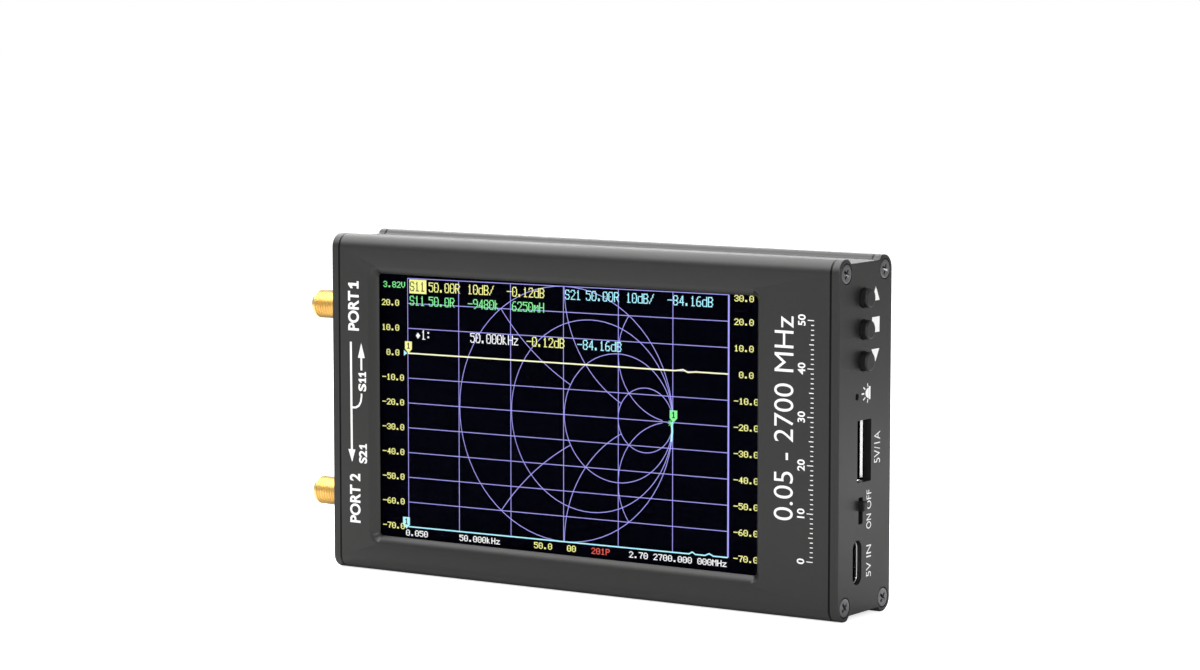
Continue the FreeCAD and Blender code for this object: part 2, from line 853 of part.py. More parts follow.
def power_switch_case():
    """Pressed steel case of the slide switch, open at the back, with a slot for the knob."""
    front, back, _ = switch_planes()
    half_y = switch_case_width / 2
    half_z = switch_case_length / 2
    case = box((back, front), (switch_y - half_y, switch_y + half_y),
               (switch_z - half_z, switch_z + half_z))
    room = box((back, front - switch_skin),
               (switch_y - half_y + switch_skin, switch_y + half_y - switch_skin),
               (switch_z - half_z + switch_skin, switch_z + half_z - switch_skin))
    slot = box((front - 2 * switch_skin, front),
               (switch_y - knob_width / 2 - switch_play, switch_y + knob_width / 2 + switch_play),
               (switch_z - (knob_length + switch_travel) / 2 - 2 * switch_play,
                switch_z + (knob_length + switch_travel) / 2 + 2 * switch_play))
    return case.makeFillet(switch_skin / 2, edges_along_x(case)).cut(room).cut(slot)


def power_switch_base():
    """Insulating base of the slide switch, with three pins that lie on the board."""
    _, back, base_front = switch_planes()
    half_y = switch_case_width / 2 - switch_skin
    half_z = switch_case_length / 2 - switch_skin
    base = box((back, base_front), (switch_y - half_y, switch_y + half_y),
               (switch_z - half_z, switch_z + half_z))
    pins = []
    for step in (-1, 0, 1):
        z = switch_z + step * switch_travel
        pins.append(box((back - switch_pin_length, back + switch_base_thickness / 2),
                        (board_front - lug_thickness, board_front),
                        (z - switch_pin_width / 2, z + switch_pin_width / 2)))
    return joined([base] + pins)


def power_switch_slider():
    """Knob and carrier of the slide switch, drawn in its upper position."""
    front, _, _ = switch_planes()
    z = switch_z + switch_travel / 2
    half_y = switch_case_width / 2 - switch_skin - switch_play
    block_front = front - switch_skin - switch_play
    block = box((block_front - switch_block_depth, block_front),
                (switch_y - half_y, switch_y + half_y),
                (z - switch_block_length / 2, z + switch_block_length / 2))
    face = right_x + knob_reach
    knob = box((block_front - switch_block_depth / 2, face),
               (switch_y - knob_width / 2, switch_y + knob_width / 2),
               (z - knob_length / 2, z + knob_length / 2))
    knob = knob.makeFillet(knob_edge_radius, edges_at_x(knob, face))
    return joined([block, knob])


def usb_a_planes():
    """X of the mouth and the back of the USB-A socket."""
    mouth = plate_right_x - usb_a_plate_gap
    return mouth, mouth - usb_a_depth


def usb_a_lips(mouth):
    """Flared lips at the mouth of the USB-A shell, one on each side."""
    start = mouth - usb_a_lip_depth

    def ring(x, grow):
        return rounded_wire(usb_a_height + grow, usb_a_length + grow, usb_a_corner_radius,
                            lambda u, v: Vec(x, usb_a_y + u, usb_a_z + v))

    skin = 2 * usb_a_skin
    outer = Part.makeLoft([ring(start, 0), ring(mouth, 2 * usb_a_lip)], True, True)
    inner = Part.makeLoft([ring(start, -skin), ring(mouth, 2 * usb_a_lip - skin)], True, True)
    corners = []
    for side_y in (-1, 1):
        for side_z in (-1, 1):
            y = usb_a_y + side_y * usb_a_height / 2
            z = usb_a_z + side_z * usb_a_length / 2
            corners.append(box((start, mouth),
                               (y - side_y * usb_a_corner_radius, y + side_y * overrun),
                               (z - side_z * usb_a_corner_radius, z + side_z * overrun)))
    return outer.cut(inner).cut(Part.makeCompound(corners))


def usb_a_shell():
    """Folded steel shell of the USB-A socket, with lips and two wings on the board."""
    mouth, back = usb_a_planes()
    start = mouth - usb_a_lip_depth
    skin = 2 * usb_a_skin
    tube = end_panel(usb_a_height, usb_a_length, usb_a_corner_radius, (back, start),
                     usb_a_y, usb_a_z)
    room = end_panel(usb_a_height - skin, usb_a_length - skin, usb_a_corner_radius,
                     (back + usb_a_skin, start), usb_a_y, usb_a_z)
    reach = usb_a_length / 2 + usb_wing_width
    wing = box((back + usb_wing_length, back + 2 * usb_wing_length),
               (board_front - lug_thickness, board_front), (usb_a_z - reach, usb_a_z + reach))
    return joined([joined([tube, wing]).cut(room), usb_a_lips(mouth)])


def usb_a_insert():
    """Moulded block and tongue inside the USB-A shell, with its four contacts."""
    mouth, back = usb_a_planes()
    skin = usb_a_skin + fit_gap / 2
    half_y = usb_a_height / 2 - skin
    half_z = usb_a_length / 2 - skin
    block_back = back + usb_a_skin
    block = end_panel(2 * half_y, 2 * half_z, usb_a_corner_radius,
                      (block_back, block_back + usb_a_back_block), usb_a_y, usb_a_z)
    tongue_y = usb_a_y + usb_a_tongue_offset
    half_t = usb_a_tongue_height / 2
    tongue = box((block_back, mouth - usb_a_tongue_recess), (tongue_y - half_t, tongue_y + half_t),
                 (usb_a_z - usb_a_tongue_length / 2, usb_a_z + usb_a_tongue_length / 2))
    contacts = []
    for step in (-1.5, -0.5, 0.5, 1.5):
        z = usb_a_z + step * usb_a_contact_pitch
        contacts.append(box((block_back, mouth - 2 * usb_a_tongue_recess),
                            (tongue_y - half_t - fit_gap, tongue_y),
                            (z - usb_a_contact_width / 2, z + usb_a_contact_width / 2)))
    return joined([block, tongue] + contacts)


def usb_c_planes():
    """X of the mouth and the back of the USB-C socket."""
    mouth = right_x - usb_c_recess
    return mouth, mouth - usb_c_depth


def usb_c_shell():
    """Drawn steel shell of the USB-C socket, round-ended, with two wings on the board."""
    mouth, back = usb_c_planes()
    tube = end_panel(usb_c_height, usb_c_length, usb_c_height / 2, (back, mouth), usb_c_y, usb_c_z)
    skin = 2 * usb_c_skin
    room = end_panel(usb_c_height - skin, usb_c_length - skin, usb_c_height / 2 - usb_c_skin,
                     (back + usb_c_skin, mouth), usb_c_y, usb_c_z)
    reach = usb_c_length / 2 + usb_wing_width / 2
    wing = box((back + usb_wing_length / 2, back + usb_wing_length),
               (board_front - lug_thickness, board_front), (usb_c_z - reach, usb_c_z + reach))
    return joined([tube, wing]).cut(room)


def usb_c_insert():
    """Moulded block and thin centre tongue inside the USB-C shell."""
    mouth, back = usb_c_planes()
    skin = 2 * usb_c_skin + fit_gap
    block_back = back + usb_c_skin
    block = end_panel(usb_c_height - skin, usb_c_length - skin, (usb_c_height - skin) / 2,
                      (block_back, block_back + usb_c_back_block), usb_c_y, usb_c_z)
    tongue = box((block_back, mouth - usb_c_tongue_recess),
                 (usb_c_y - usb_c_tongue_height / 2, usb_c_y + usb_c_tongue_height / 2),
                 (usb_c_z - usb_c_tongue_length / 2, usb_c_z + usb_c_tongue_length / 2))
    return joined([block, tongue])


def battery_cell():
    """Flat pouch cell with soft edges."""
    cell = box((battery_left, battery_right), (battery_rear - battery_thickness, battery_rear),
               (battery_from_bottom, battery_top))
    return cell.makeFillet(battery_edge_radius, edges_along_x(cell))


def battery_tape():
    """Double-sided tape between the cell and the rear wall."""
    inset = 2 * battery_edge_radius
    return box((battery_left + inset, battery_right - inset),
               (battery_rear, battery_rear + tape_thickness),
               (battery_from_bottom + inset, battery_top - inset))


def lead_places():
    """Start and end of the battery lead as (x, y) pairs, and its middle height."""
    start = (battery_right, battery_rear - battery_thickness / 2)
    end = (battery_right + battery_plug_gap, board_rear + plug_socket_wall + plug_height / 2)
    return start, end, battery_top - lead_below_battery_top


def battery_leads():
    """Two wires from the cell to the plug, each an easy S of two tangent arcs."""
    (start_x, start_y), (end_x, end_y), middle_z = lead_places()
    run = end_x - start_x - 2 * lead_straight
    drop = start_y - end_y
    turn = 2 * math.atan(drop / run)
    radius = run / (2 * math.sin(turn))
    wires = []
    for side in (-1, 1):
        z = middle_z + side * lead_spacing / 2
        first = Vec(start_x + lead_straight, start_y, z)
        centre_1 = first + Vec(0, -radius, 0)
        middle = Vec(first.x + run / 2, start_y - drop / 2, z)
        last = Vec(end_x - lead_straight, end_y, z)
        centre_2 = last + Vec(0, radius, 0)
        bow = Vec(math.sin(turn / 2), math.cos(turn / 2), 0) * radius
        path = Part.Wire([
            Part.LineSegment(Vec(start_x, start_y, z), first).toShape(),
            Part.Arc(first, centre_1 + bow, middle).toShape(),
            Part.Arc(middle, centre_2 - bow, last).toShape(),
            Part.LineSegment(last, Vec(end_x, end_y, z)).toShape(),
        ])
        ring = Part.makeCircle(lead_radius, Vec(start_x, start_y, z), Vec(1, 0, 0))
        wires.append(path.makePipeShell([Part.Wire(ring)], True, False))
    return Part.makeCompound(wires)


def battery_plug():
    """Plug on the end of the battery lead."""
    _, (x0, y), z = lead_places()
    return box((x0, x0 + plug_length), (y - plug_height / 2, y + plug_height / 2),
               (z - plug_width / 2, z + plug_width / 2))


def battery_socket():
    """Socket on the rear of the board, open towards the battery."""
    _, (plug_x, y), z = lead_places()
    x0 = plug_x + plug_length - plug_grip
    half_y = plug_height / 2 + plug_socket_wall
    half_z = plug_width / 2 + plug_socket_wall
    body = box((x0, x0 + plug_socket_depth), (y - half_y, y + half_y), (z - half_z, z + half_z))
    room = box((x0, plug_x + plug_length),
               (y - plug_height / 2 - plug_clearance, y + plug_height / 2 + plug_clearance),
               (z - plug_width / 2 - plug_clearance, z + plug_width / 2 + plug_clearance))
    return body.cut(room)


def case_nodes():
    """Shells, end plates and their screws."""
    return {
        "front_shell": front_shell(),
        "rear_shell": rear_shell(),
        "port_end_plate": port_end_plate(),
        "control_end_plate": control_end_plate(),
        "port_plate_screws": screw_set(left_x, -1),
        "control_plate_screws": screw_set(right_x, 1),
    }


def display_nodes():
    """Layers of the display and its ribbon."""
    return {
        "display_gasket": display_gasket(),
        "touch_panel": touch_panel(),
        "lcd_cell": lcd_cell(),
        "backlight": backlight(),
        "display_cushions": display_cushions(),
        "display_ribbon": display_ribbon(),
        "ribbon_socket": ribbon_socket(),
    }


def board_nodes():
    """Circuit board with its chips and shields."""
    nodes = {"main_board": main_board()}
    nodes.update(front_circuits())
    for name, (size, x, z) in shield_places().items():
        nodes[name] = shield(size, x, z)
    return nodes


def port_nodes():
    """The five pieces of each coaxial port."""
    nodes = {}
    for name, z in port_heights.items():
        nodes[name + "_body"] = port_body(z)
        nodes[name + "_insulator"] = port_insulator(z)
        nodes[name + "_contact"] = port_contact(z)
        nodes[name + "_washer"] = port_washer(z)
        nodes[name + "_nut"] = port_nut(z)
    return nodes


def control_nodes():
    """Buttons, lamp, slide switch and sockets of the control end."""
    nodes = {}
    for name, z in button_heights.items():
        nodes[name + "_button_cap"] = button_cap(z)
        nodes[name + "_key_plunger"] = key_plunger(z)
        nodes[name + "_key_switch"] = key_switch(z)
    nodes["status_lamp"] = status_lamp()
    nodes["power_switch_case"] = power_switch_case()
    nodes["power_switch_base"] = power_switch_base()
    nodes["power_switch_slider"] = power_switch_slider()
    nodes["usb_a_shell"] = usb_a_shell()
    nodes["usb_a_insert"] = usb_a_insert()
    nodes["usb_c_shell"] = usb_c_shell()
    nodes["usb_c_insert"] = usb_c_insert()
    return nodes


def battery_nodes():
    """Battery, tape, lead, plug and socket."""
    return {
        "battery_cell": battery_cell(),
        "battery_tape": battery_tape(),
        "battery_leads": battery_leads(),
        "battery_plug": battery_plug(),
        "battery_socket": battery_socket(),
    }


def main():
    """Build every node, move it to the common origin and write it."""
    os.makedirs("parts", exist_ok=True)
    nodes = {}
    for group in (case_nodes, display_nodes, board_nodes, port_nodes, control_nodes,
                  battery_nodes):
        nodes.update(group())
    for name, shape in nodes.items():
        shape.translate(Vec(origin_shift, 0, 0))
        shape.exportStep("parts/" + name + ".step")
        print(name, len(shape.Solids), round(shape.Volume, 2), shape.isValid())


main()
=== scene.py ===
"""Looks of a handheld antenna analyzer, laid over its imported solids.

The script gives each solid its finish, builds the pieces that need more shape than
their solids have (port threads, screws, lit display, printed marks), and sets the studio.
Lengths are millimetres in the case's own frame, with X along the case, Y from the screen
side to the back and Z up, until they reach a mesh, which is in metres.
"""

import logging
import math
from dataclasses import dataclass, field, replace
from enum import Enum
from typing import Callable, Iterable, Sequence

import bmesh
import bpy
from mathutils import Matrix, Vector

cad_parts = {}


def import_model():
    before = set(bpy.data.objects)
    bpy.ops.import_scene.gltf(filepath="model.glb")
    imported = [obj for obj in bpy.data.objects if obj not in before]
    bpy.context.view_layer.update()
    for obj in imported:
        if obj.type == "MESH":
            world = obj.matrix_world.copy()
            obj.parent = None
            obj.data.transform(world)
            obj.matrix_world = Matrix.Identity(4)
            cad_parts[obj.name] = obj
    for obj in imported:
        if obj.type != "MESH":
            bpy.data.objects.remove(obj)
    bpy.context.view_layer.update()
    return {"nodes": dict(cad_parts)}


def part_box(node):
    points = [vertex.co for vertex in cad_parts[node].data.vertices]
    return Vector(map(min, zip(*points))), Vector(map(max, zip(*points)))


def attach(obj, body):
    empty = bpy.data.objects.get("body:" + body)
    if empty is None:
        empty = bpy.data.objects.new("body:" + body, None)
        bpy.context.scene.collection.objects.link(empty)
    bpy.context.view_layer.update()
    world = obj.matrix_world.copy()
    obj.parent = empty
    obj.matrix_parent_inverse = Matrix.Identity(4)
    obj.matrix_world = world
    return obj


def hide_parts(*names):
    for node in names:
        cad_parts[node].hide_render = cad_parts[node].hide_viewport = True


LOG = logging.getLogger("analyzer")
MM = 0.001
# The case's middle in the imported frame, because the ports reach further than the caps.
CASE_SHIFT_X = 4.625
WHITE = (1.0, 1.0, 1.0, 1.0)
# The colour of places that hardly any light reaches.
SHADED = "#020202"
# Keeps a division by a sine or cosine finite.
TINY = 1e-6

Point2 = tuple[float, float]
Ring = Sequence[Vector]


class Body(Enum):
    """The bodies that a piece can ride on."""

    HOUSING = "housing"


class Slot(Enum):
    """Names of material slots, handed to the drawings but not read."""

    SCREWS = "black_steel"
    LCD = "lcd_glass"
    CASE = "case_aluminium"
    PORT = "gilt_brass"
    STEEL = "tinned_steel"


class Grain(Enum):
    """The kinds of fine relief that the finishes have."""

    PITTED = "pitted"
    TURNED = "turned"
    CELLS = "cells"
    WOVEN = "woven"
    CREASED = "creased"


def linear(colour: str) -> tuple[float, float, float, float]:
    """Turns an sRGB hex colour to linear light.

    Args:
        colour: six hex digits after a hash sign.

    Returns:
        Red, green, blue and an alpha of one.
    """
    parts = [int(colour[k:k + 2], 16) / 255 for k in (1, 3, 5)]
    curve = [p / 12.92 if p <= 0.04045 else ((p + 0.055) / 1.055) ** 2.4 for p in parts]
    return (curve[0], curve[1], curve[2], 1.0)


def place(x: float, y: float, z: float) -> Vector:
    """Turns a point of the case, in millimetres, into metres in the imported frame."""
    return Vector((x + CASE_SHIFT_X, y, z)) * MM


def add_node(
    tree: bpy.types.NodeTree,
    kind: str,
    inputs: dict[str | int, object] | None = None,
    **settings: object,
) -> bpy.types.Node:
    """Adds a shader node, sets its properties, and sets or links its inputs.

    Args:
        tree: the node tree that it joins.
        kind: the node's type name.
        inputs: values or sockets by input name or number.
        settings: properties of the node.

    Returns:
        The new node.
    """
    made = tree.nodes.new(kind)
    for key, value in settings.items():
        setattr(made, key, value)
    for key, value in (inputs or {}).items():
        if isinstance(value, bpy.types.NodeSocket):
            tree.links.new(value, made.inputs[key])
        else:
            made.inputs[key].default_value = value
    return made


@dataclass(frozen=True)
class Finish:
    """A real surface: its colour, the patches it drifts in, its gloss, its fine relief and any painted
    shade.

    Lengths are millimetres. A finish's material is made once and then shared.
    """

    name: str
    colour: str
    patch_colour: str
    roughness: float
    grain: Grain
    grain_mm: float
    relief_mm: float
    patch_mm: float = 14.0
    gloss_drift: float = 0.06
    run: tuple[float, float, float] = (1.0, 1.0, 1.0)
    sockets: tuple[tuple[str, object], ...] = ()
    glow: str | None = None
    shaded_x: tuple[Point2, ...] = ()

    def material(self) -> bpy.types.Material:
        """Finds the finish's material, or makes it the first time.

        Returns:
            The shared material.
        """
        found = bpy.data.materials.get(self.name)
        if found is not None:
            return found
        made = bpy.data.materials.new(self.name)
        made.use_nodes = True
        tree = made.node_tree
        shader = tree.nodes["Principled BSDF"]
        for socket, value in self.sockets:
            shader.inputs[socket].default_value = value
        if self.glow is not None:
            shader.inputs["Emission Color"].default_value = linear(self.glow)
            shader.inputs["Emission Strength"].default_value = 1.0
        spot = add_node(tree, "ShaderNodeTexCoord").outputs["Object"]
        patch = add_node(tree, "ShaderNodeTexNoise", {
            "Vector": spot, "Scale": 1 / (self.patch_mm * MM), "Detail": 4.0, "Roughness": 0.6,
        }).outputs[0]
        colour = add_node(tree, "ShaderNodeMix", {
            0: patch, 6: linear(self.colour), 7: linear(self.patch_colour),
        }, data_type="RGBA")
        gloss = add_node(tree, "ShaderNodeMapRange", {
            "Value": patch, "From Min": 0.3, "From Max": 0.7,
            "To Min": self.roughness - self.gloss_drift, "To Max": self.roughness + self.gloss_drift,
        })
        bump = add_node(tree, "ShaderNodeBump", {
            "Strength": 1.0, "Distance": self.relief_mm * MM, "Height": self.relief(tree, spot),
        })
        base = colour.outputs[2]
        # Bands along X are painted with shade: their colour is mixed to near black.
        for start, end in self.shaded_x:
            along = add_node(tree, "ShaderNodeSeparateXYZ", {0: spot}).outputs[0]
            inside = add_node(tree, "ShaderNodeMath", {
                0: along, 1: ((start + end) / 2 + CASE_SHIFT_X) * MM, 2: (end - start) / 2 * MM,
            }, operation="COMPARE")
            base = add_node(tree, "ShaderNodeMix", {
                0: inside.outputs[0], 6: base, 7: linear(SHADED),
            }, data_type="RGBA").outputs[2]
        tree.links.new(base, shader.inputs["Base Color"])
        tree.links.new(gloss.outputs[0], shader.inputs["Roughness"])
        tree.links.new(bump.outputs[0], shader.inputs["Normal"])
        return made

    def relief(self, tree: bpy.types.NodeTree, spot: bpy.types.NodeSocket) -> bpy.types.NodeSocket:
        """Builds the height pattern of the finish's grain.

        Args:
            tree: the material's node tree.
            spot: the place on the piece, in metres.

        Returns:
            The socket that carries the height.
        """
        scale = 1 / (self.grain_mm * MM)
        turn = scale / (20 / math.tau)
        spot = add_node(tree, "ShaderNodeMapping", {
            "Vector": spot, "Scale": tuple(1 / r for r in self.run)}).outputs[0]
        if self.grain is Grain.TURNED:
            return add_node(tree, "ShaderNodeTexWave", {
                "Vector": spot, "Scale": turn, "Distortion": 1.2, "Detail": 2.0,
            }, wave_type="BANDS", bands_direction="X").outputs[1]
        if self.grain is Grain.CELLS:
            return add_node(tree, "ShaderNodeTexVoronoi", {"Vector": spot, "Scale": scale}).outputs[0]
        if self.grain is Grain.WOVEN:
            threads = [add_node(tree, "ShaderNodeTexWave", {"Vector": spot, "Scale": turn},
                                wave_type="BANDS", bands_direction=way).outputs[1] for way in "XZ"]
            return add_node(tree, "ShaderNodeMath", {0: threads[0], 1: threads[1]},
                            operation="MULTIPLY").outputs[0]
        detail = 6.0 if self.grain is Grain.CREASED else 2.0
        return add_node(tree, "ShaderNodeTexNoise", {
            "Vector": spot, "Scale": scale, "Detail": detail, "Roughness": 0.55,
        }).outputs[0]


# Aluminium 6063, extruded, glass-bead blasted and anodised dark grey: no extrusion lines are left,
# only an even soft sheen, and painted shade, black, in the seams where the end plates meet the
# shells. Beads leave pits of about 0.1 mm, drawn at 0.28 mm so that they show.
BLASTED_ALUMINIUM = Finish(
    "bead_blasted_anodised_aluminium", "#363636", "#3A3A39", 0.42, Grain.PITTED, 0.28, 0.010,
    patch_mm=26.0, gloss_drift=0.03, sockets=(("Metallic", 0.75),),
    shaded_x=((-63.22, -62.74), (62.74, 63.22)))

# Machine screws in carbon steel, zinc-plated and passivated black: darker than the plate, with a
# soft metal shine that rings the head.
BLACK_ZINC_STEEL = Finish(
    "black_zinc_plated_steel", "#7C7C7E", "#68686A", 0.36, Grain.PITTED, 0.2, 0.004,
    patch_mm=1.6, sockets=(("Metallic", 1.0),))

# Painted shade for the screws down in their cross recess: near black and dull.
SHADED_RECESS = Finish(
    "painted_shade_in_screw_recess", "#0B0B0B", "#101010", 0.7, Grain.PITTED, 0.2, 0.004,
    patch_mm=1.6, sockets=(("Specular IOR Level", 0.15),))

# Brass bar, turned on a lathe and gold-plated: fine tool rings (0.05 mm, drawn at 0.15 mm) under a
# warm bright metal.
GOLD_PLATED_BRASS = Finish(
    "gold_plated_turned_brass", "#F8E0A6", "#E8C27A", 0.33, Grain.TURNED, 0.15, 0.002,
    patch_mm=3.0, sockets=(("Metallic", 1.0),))

# The same gold down in the thread's grooves: browner as painted shade, and duller where the tool
# leaves it rough.
SHADED_GROOVE_GOLD = Finish(
    "gold_plate_in_thread_grooves", "#3E2610", "#301C0A", 0.55, Grain.TURNED, 0.15, 0.002,
    patch_mm=3.0, sockets=(("Metallic", 1.0),))

# PTFE rod, machined: waxy white with a soft depth to it.
MACHINED_PTFE = Finish(
    "machined_ptfe", "#F1EEE6", "#E6E2D8", 0.42, Grain.TURNED, 0.2, 0.003, patch_mm=3.0,
    sockets=(("Subsurface Weight", 0.15), ("Subsurface Scale", 0.001)))

# Soda-lime cover glass with an anti-reflection film, given as no refraction step and a dark
# specular tint: no mirror image, so that the picture under it stays black where it is unlit.
COATED_GLASS = Finish(
    "coated_cover_glass", "#FFFFFF", "#FBFDFF", 0.0, Grain.PITTED, 20.0, 0.00005, patch_mm=40.0,
    gloss_drift=0.0,
    sockets=(("Transmission Weight", 1.0), ("IOR", 1.0), ("Specular Tint", linear("#303036"))))

# Liquid crystal cell behind its polariser film: near black, with a trace of the backlight in it.
UNLIT_POLARISER = Finish(
    "unlit_lcd_polariser", "#010104", "#020205", 0.3, Grain.PITTED, 0.25, 0.001, patch_mm=30.0,
    sockets=(("Specular IOR Level", 0.003),), glow="#010104")

# ABS, injection moulded with a fine spark texture: deep black and dull.
MOULDED_BLACK_ABS = Finish(
    "moulded_black_abs", "#121212", "#171717", 0.45, Grain.PITTED, 0.18, 0.006, patch_mm=2.5,
    sockets=(("Specular IOR Level", 0.35),))

# Glass-filled nylon, moulded: a little greyer and rougher than the caps.
MOULDED_BLACK_NYLON = Finish(
    "moulded_black_nylon", "#161616", "#222222", 0.55, Grain.PITTED, 0.12, 0.008, patch_mm=1.8)

# Nylon, moulded in its own white.
MOULDED_WHITE_NYLON = Finish(
    "moulded_white_nylon", "#E9E6DC", "#DFDBCF", 0.45, Grain.PITTED, 0.2, 0.005, patch_mm=3.0)

# Drawn steel strip, tin-plated: bright, with faint lines along the way it was drawn.
TINNED_STEEL = Finish(
    "tin_plated_drawn_steel", "#D2D3D2", "#B9BBBC", 0.26, Grain.PITTED, 0.12, 0.003,
    patch_mm=3.0, run=(12.0, 1.0, 1.0), sockets=(("Metallic", 1.0),))

# The same strip where it is formed into a socket's shell: painted lighter at the mouth, a painted
# highlight, and black further in, painted shade where the closed shell lets no light fall on it.
def shell_steel(name: str, lit_to_x: float) -> Finish:
    """Gives the finish of a socket's shell, with a painted highlight and painted shade.

    Args:
        name: what it is called.
        lit_to_x: how far in the painted highlight reaches; past it lies painted shade.

    Returns:
        The finish.
    """
    past_its_back = 20.0
    return replace(TINNED_STEEL, name=name, colour="#F4F4F3", patch_colour="#E9EAEA",
                   shaded_x=((lit_to_x - past_its_back, lit_to_x),))


# Two-part epoxy ink, pad-printed: a flat white with thin, slightly open edges.
PAD_PRINTED_INK = Finish(
    "pad_printed_white_ink", "#EDEDEC", "#E2E2E1", 0.62, Grain.PITTED, 0.15, 0.004, patch_mm=2.0)

# Smoke-tinted epoxy, cast: the lamp's lens, which is black while the lamp is off.
CAST_SMOKED_EPOXY = Finish(
    "cast_smoked_epoxy", "#0A0A0B", "#101113", 0.3, Grain.PITTED, 0.6, 0.004, patch_mm=1.2,
    sockets=(("Specular IOR Level", 0.3),))

# Epoxy glass laminate under green solder resist: the glass weave (0.5 mm) shows faintly through.
SOLDER_RESIST = Finish(
    "green_solder_resist_on_glass_laminate", "#14492B", "#103E25", 0.35, Grain.WOVEN, 0.5, 0.006)

# Silica-filled epoxy, transfer moulded: the dull dark grey of chip packages.
MOULDED_PACKAGE_RESIN = Finish(
    "moulded_package_resin", "#2A2A2B", "#232324", 0.6, Grain.PITTED, 0.1, 0.006, patch_mm=2.5)

# Microcellular polyurethane foam, cut from sheet: open cells of 0.3 mm.
CUT_FOAM = Finish(
    "cut_microcellular_foam", "#1E1E1F", "#2A2A2B", 0.9, Grain.CELLS, 0.3, 0.08, patch_mm=4.0)

# Polycarbonate, moulded white for the backlight tray.
MOULDED_TRAY = Finish(
    "moulded_white_polycarbonate", "#D9D9D6", "#CFCFCB", 0.4, Grain.PITTED, 0.3, 0.004)

# Polyimide film over rolled copper: amber, with the copper's rolling lines.
POLYIMIDE_FILM = Finish(
    "amber_polyimide_film", "#B9792A", "#A2661F", 0.35, Grain.PITTED, 0.3, 0.004, run=(1.0, 1.0, 14.0))

# Aluminium-nylon laminate, cold formed over the cell: satin foil with soft creases.
FORMED_POUCH_FOIL = Finish(
    "cold_formed_pouch_foil", "#BFC1C4", "#AEB1B5", 0.38, Grain.CREASED, 7.0, 0.25,
    sockets=(("Metallic", 0.7),))

# Silicone, extruded over the battery's leads.
EXTRUDED_SILICONE = Finish(
    "extruded_red_silicone", "#A3201C", "#8C1A17", 0.5, Grain.PITTED, 0.4, 0.006, patch_mm=4.0)


class Light(Enum):
    """Colours of the display's lit dots."""

    GRID = "#A09CF6"
    EDGE = "#9E9BF8"
    YELLOW = "#F6F68E"
    PALE_YELLOW = "#FDFDCB"
    GREEN = "#7DF08F"
    CYAN = "#A8F0FC"
    WHITE = "#FAFAFA"
    RED = "#E14A38"

    def finish(self) -> Finish:
        """Gives the finish of dots lit in this colour: black film that glows through its filter."""
        return Finish(f"lit_dots_{self.name.lower()}", "#050506", "#070708", 0.5, Grain.PITTED,
                      0.2, 0.001, glow=self.value)


def dress(nodes: dict[str, bpy.types.Object], finish: Finish, *names: str) -> None:
    """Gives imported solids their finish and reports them.

    Args:
        nodes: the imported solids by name.
        finish: the finish they share.
        names: the solids to dress.
    """
    for name in names:
        slots = nodes[name].data.materials
        slots.clear()
        slots.append(finish.material())
        LOG.info("solid %s wears %s", name, finish.name)


def add_piece(
    name: str, mesh: bpy.types.Mesh, finishes: Sequence[Finish],
    stands_for: Sequence[str] = (), smooth_below: float = 40.0,
) -> None:
    """Puts a new piece in the scene, riding on the housing.

    Args:
        name: what the piece is called.
        mesh: its mesh, in place.
        finishes: its finishes, by the number that its faces carry.
        stands_for: solids that it replaces.
        smooth_below: edges sharper than this many degrees stay sharp.
    """
    mesh.name = name
    mesh.shade_smooth()
    mesh.set_sharp_from_angle(angle=math.radians(smooth_below))
    mesh.materials.clear()
    for finish in finishes:
        mesh.materials.append(finish.material())
    piece = bpy.data.objects.new(name, mesh)
    bpy.context.scene.collection.objects.link(piece)
    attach(piece, Body.HOUSING.value)
    if stands_for:
        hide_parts(*stands_for)
    LOG.info("piece %s: %d faces in %s", name, len(mesh.polygons), finishes[0].name)


class Shape:
    """A mesh under construction, in metres."""

    def __init__(self) -> None:
        """Starts with nothing."""
        self.mesh = bmesh.new()

    def skin(self, rings: Sequence[Ring], looped: bool = False, paint: Sequence[int] = ()) -> None:
        """Joins rings of equally many points with faces, each ring closed on itself.

        Args:
            rings: the rings in order, in metres.
            looped: whether the last ring joins the first, as round a bored piece.
            paint: the finish number of each band between rings; the rest take the first.
        """
        rows = [[self.mesh.verts.new(p) for p in ring] for ring in rings]
        pairs = list(zip(rows, rows[1:] + ([rows[0]] if looped else [])))
        for band, (low, high) in enumerate(pairs):
            for k in range(len(low)):
                j = (k + 1) % len(low)
                face = self.mesh.faces.new((low[k], low[j], high[j], high[k]))
                face.material_index = paint[band] if band < len(paint) else 0

    def block(self, low: Vector, high: Vector, edge: float) -> None:
        """Adds a box with turned-down edges.

        Args:
            low: its lowest corner, in metres.
            high: its highest corner, in metres.
            edge: the width of its edges' chamfer, in metres.
        """
        middle = Matrix.Translation((low + high) / 2) @ Matrix.Diagonal((*(high - low), 1.0))
        made = bmesh.ops.create_cube(self.mesh, size=1.0, matrix=middle)["verts"]
        edges = list({e for v in made for e in v.link_edges})
        bmesh.ops.bevel(self.mesh, geom=edges, offset=edge, segments=2, affect="EDGES", profile=0.6)

    def finish(self) -> bpy.types.Mesh:
        """Closes the mesh's seams and turns its faces outwards.

        Returns:
            The finished mesh.
        """
        bmesh.ops.remove_doubles(self.mesh, verts=self.mesh.verts, dist=1e-7)
        bmesh.ops.dissolve_degenerate(self.mesh, edges=self.mesh.edges, dist=1e-7)
        bmesh.ops.recalc_face_normals(self.mesh, faces=self.mesh.faces)
        made = bpy.data.meshes.new("shape")
        self.mesh.to_mesh(made)
        self.mesh.free()
        return made


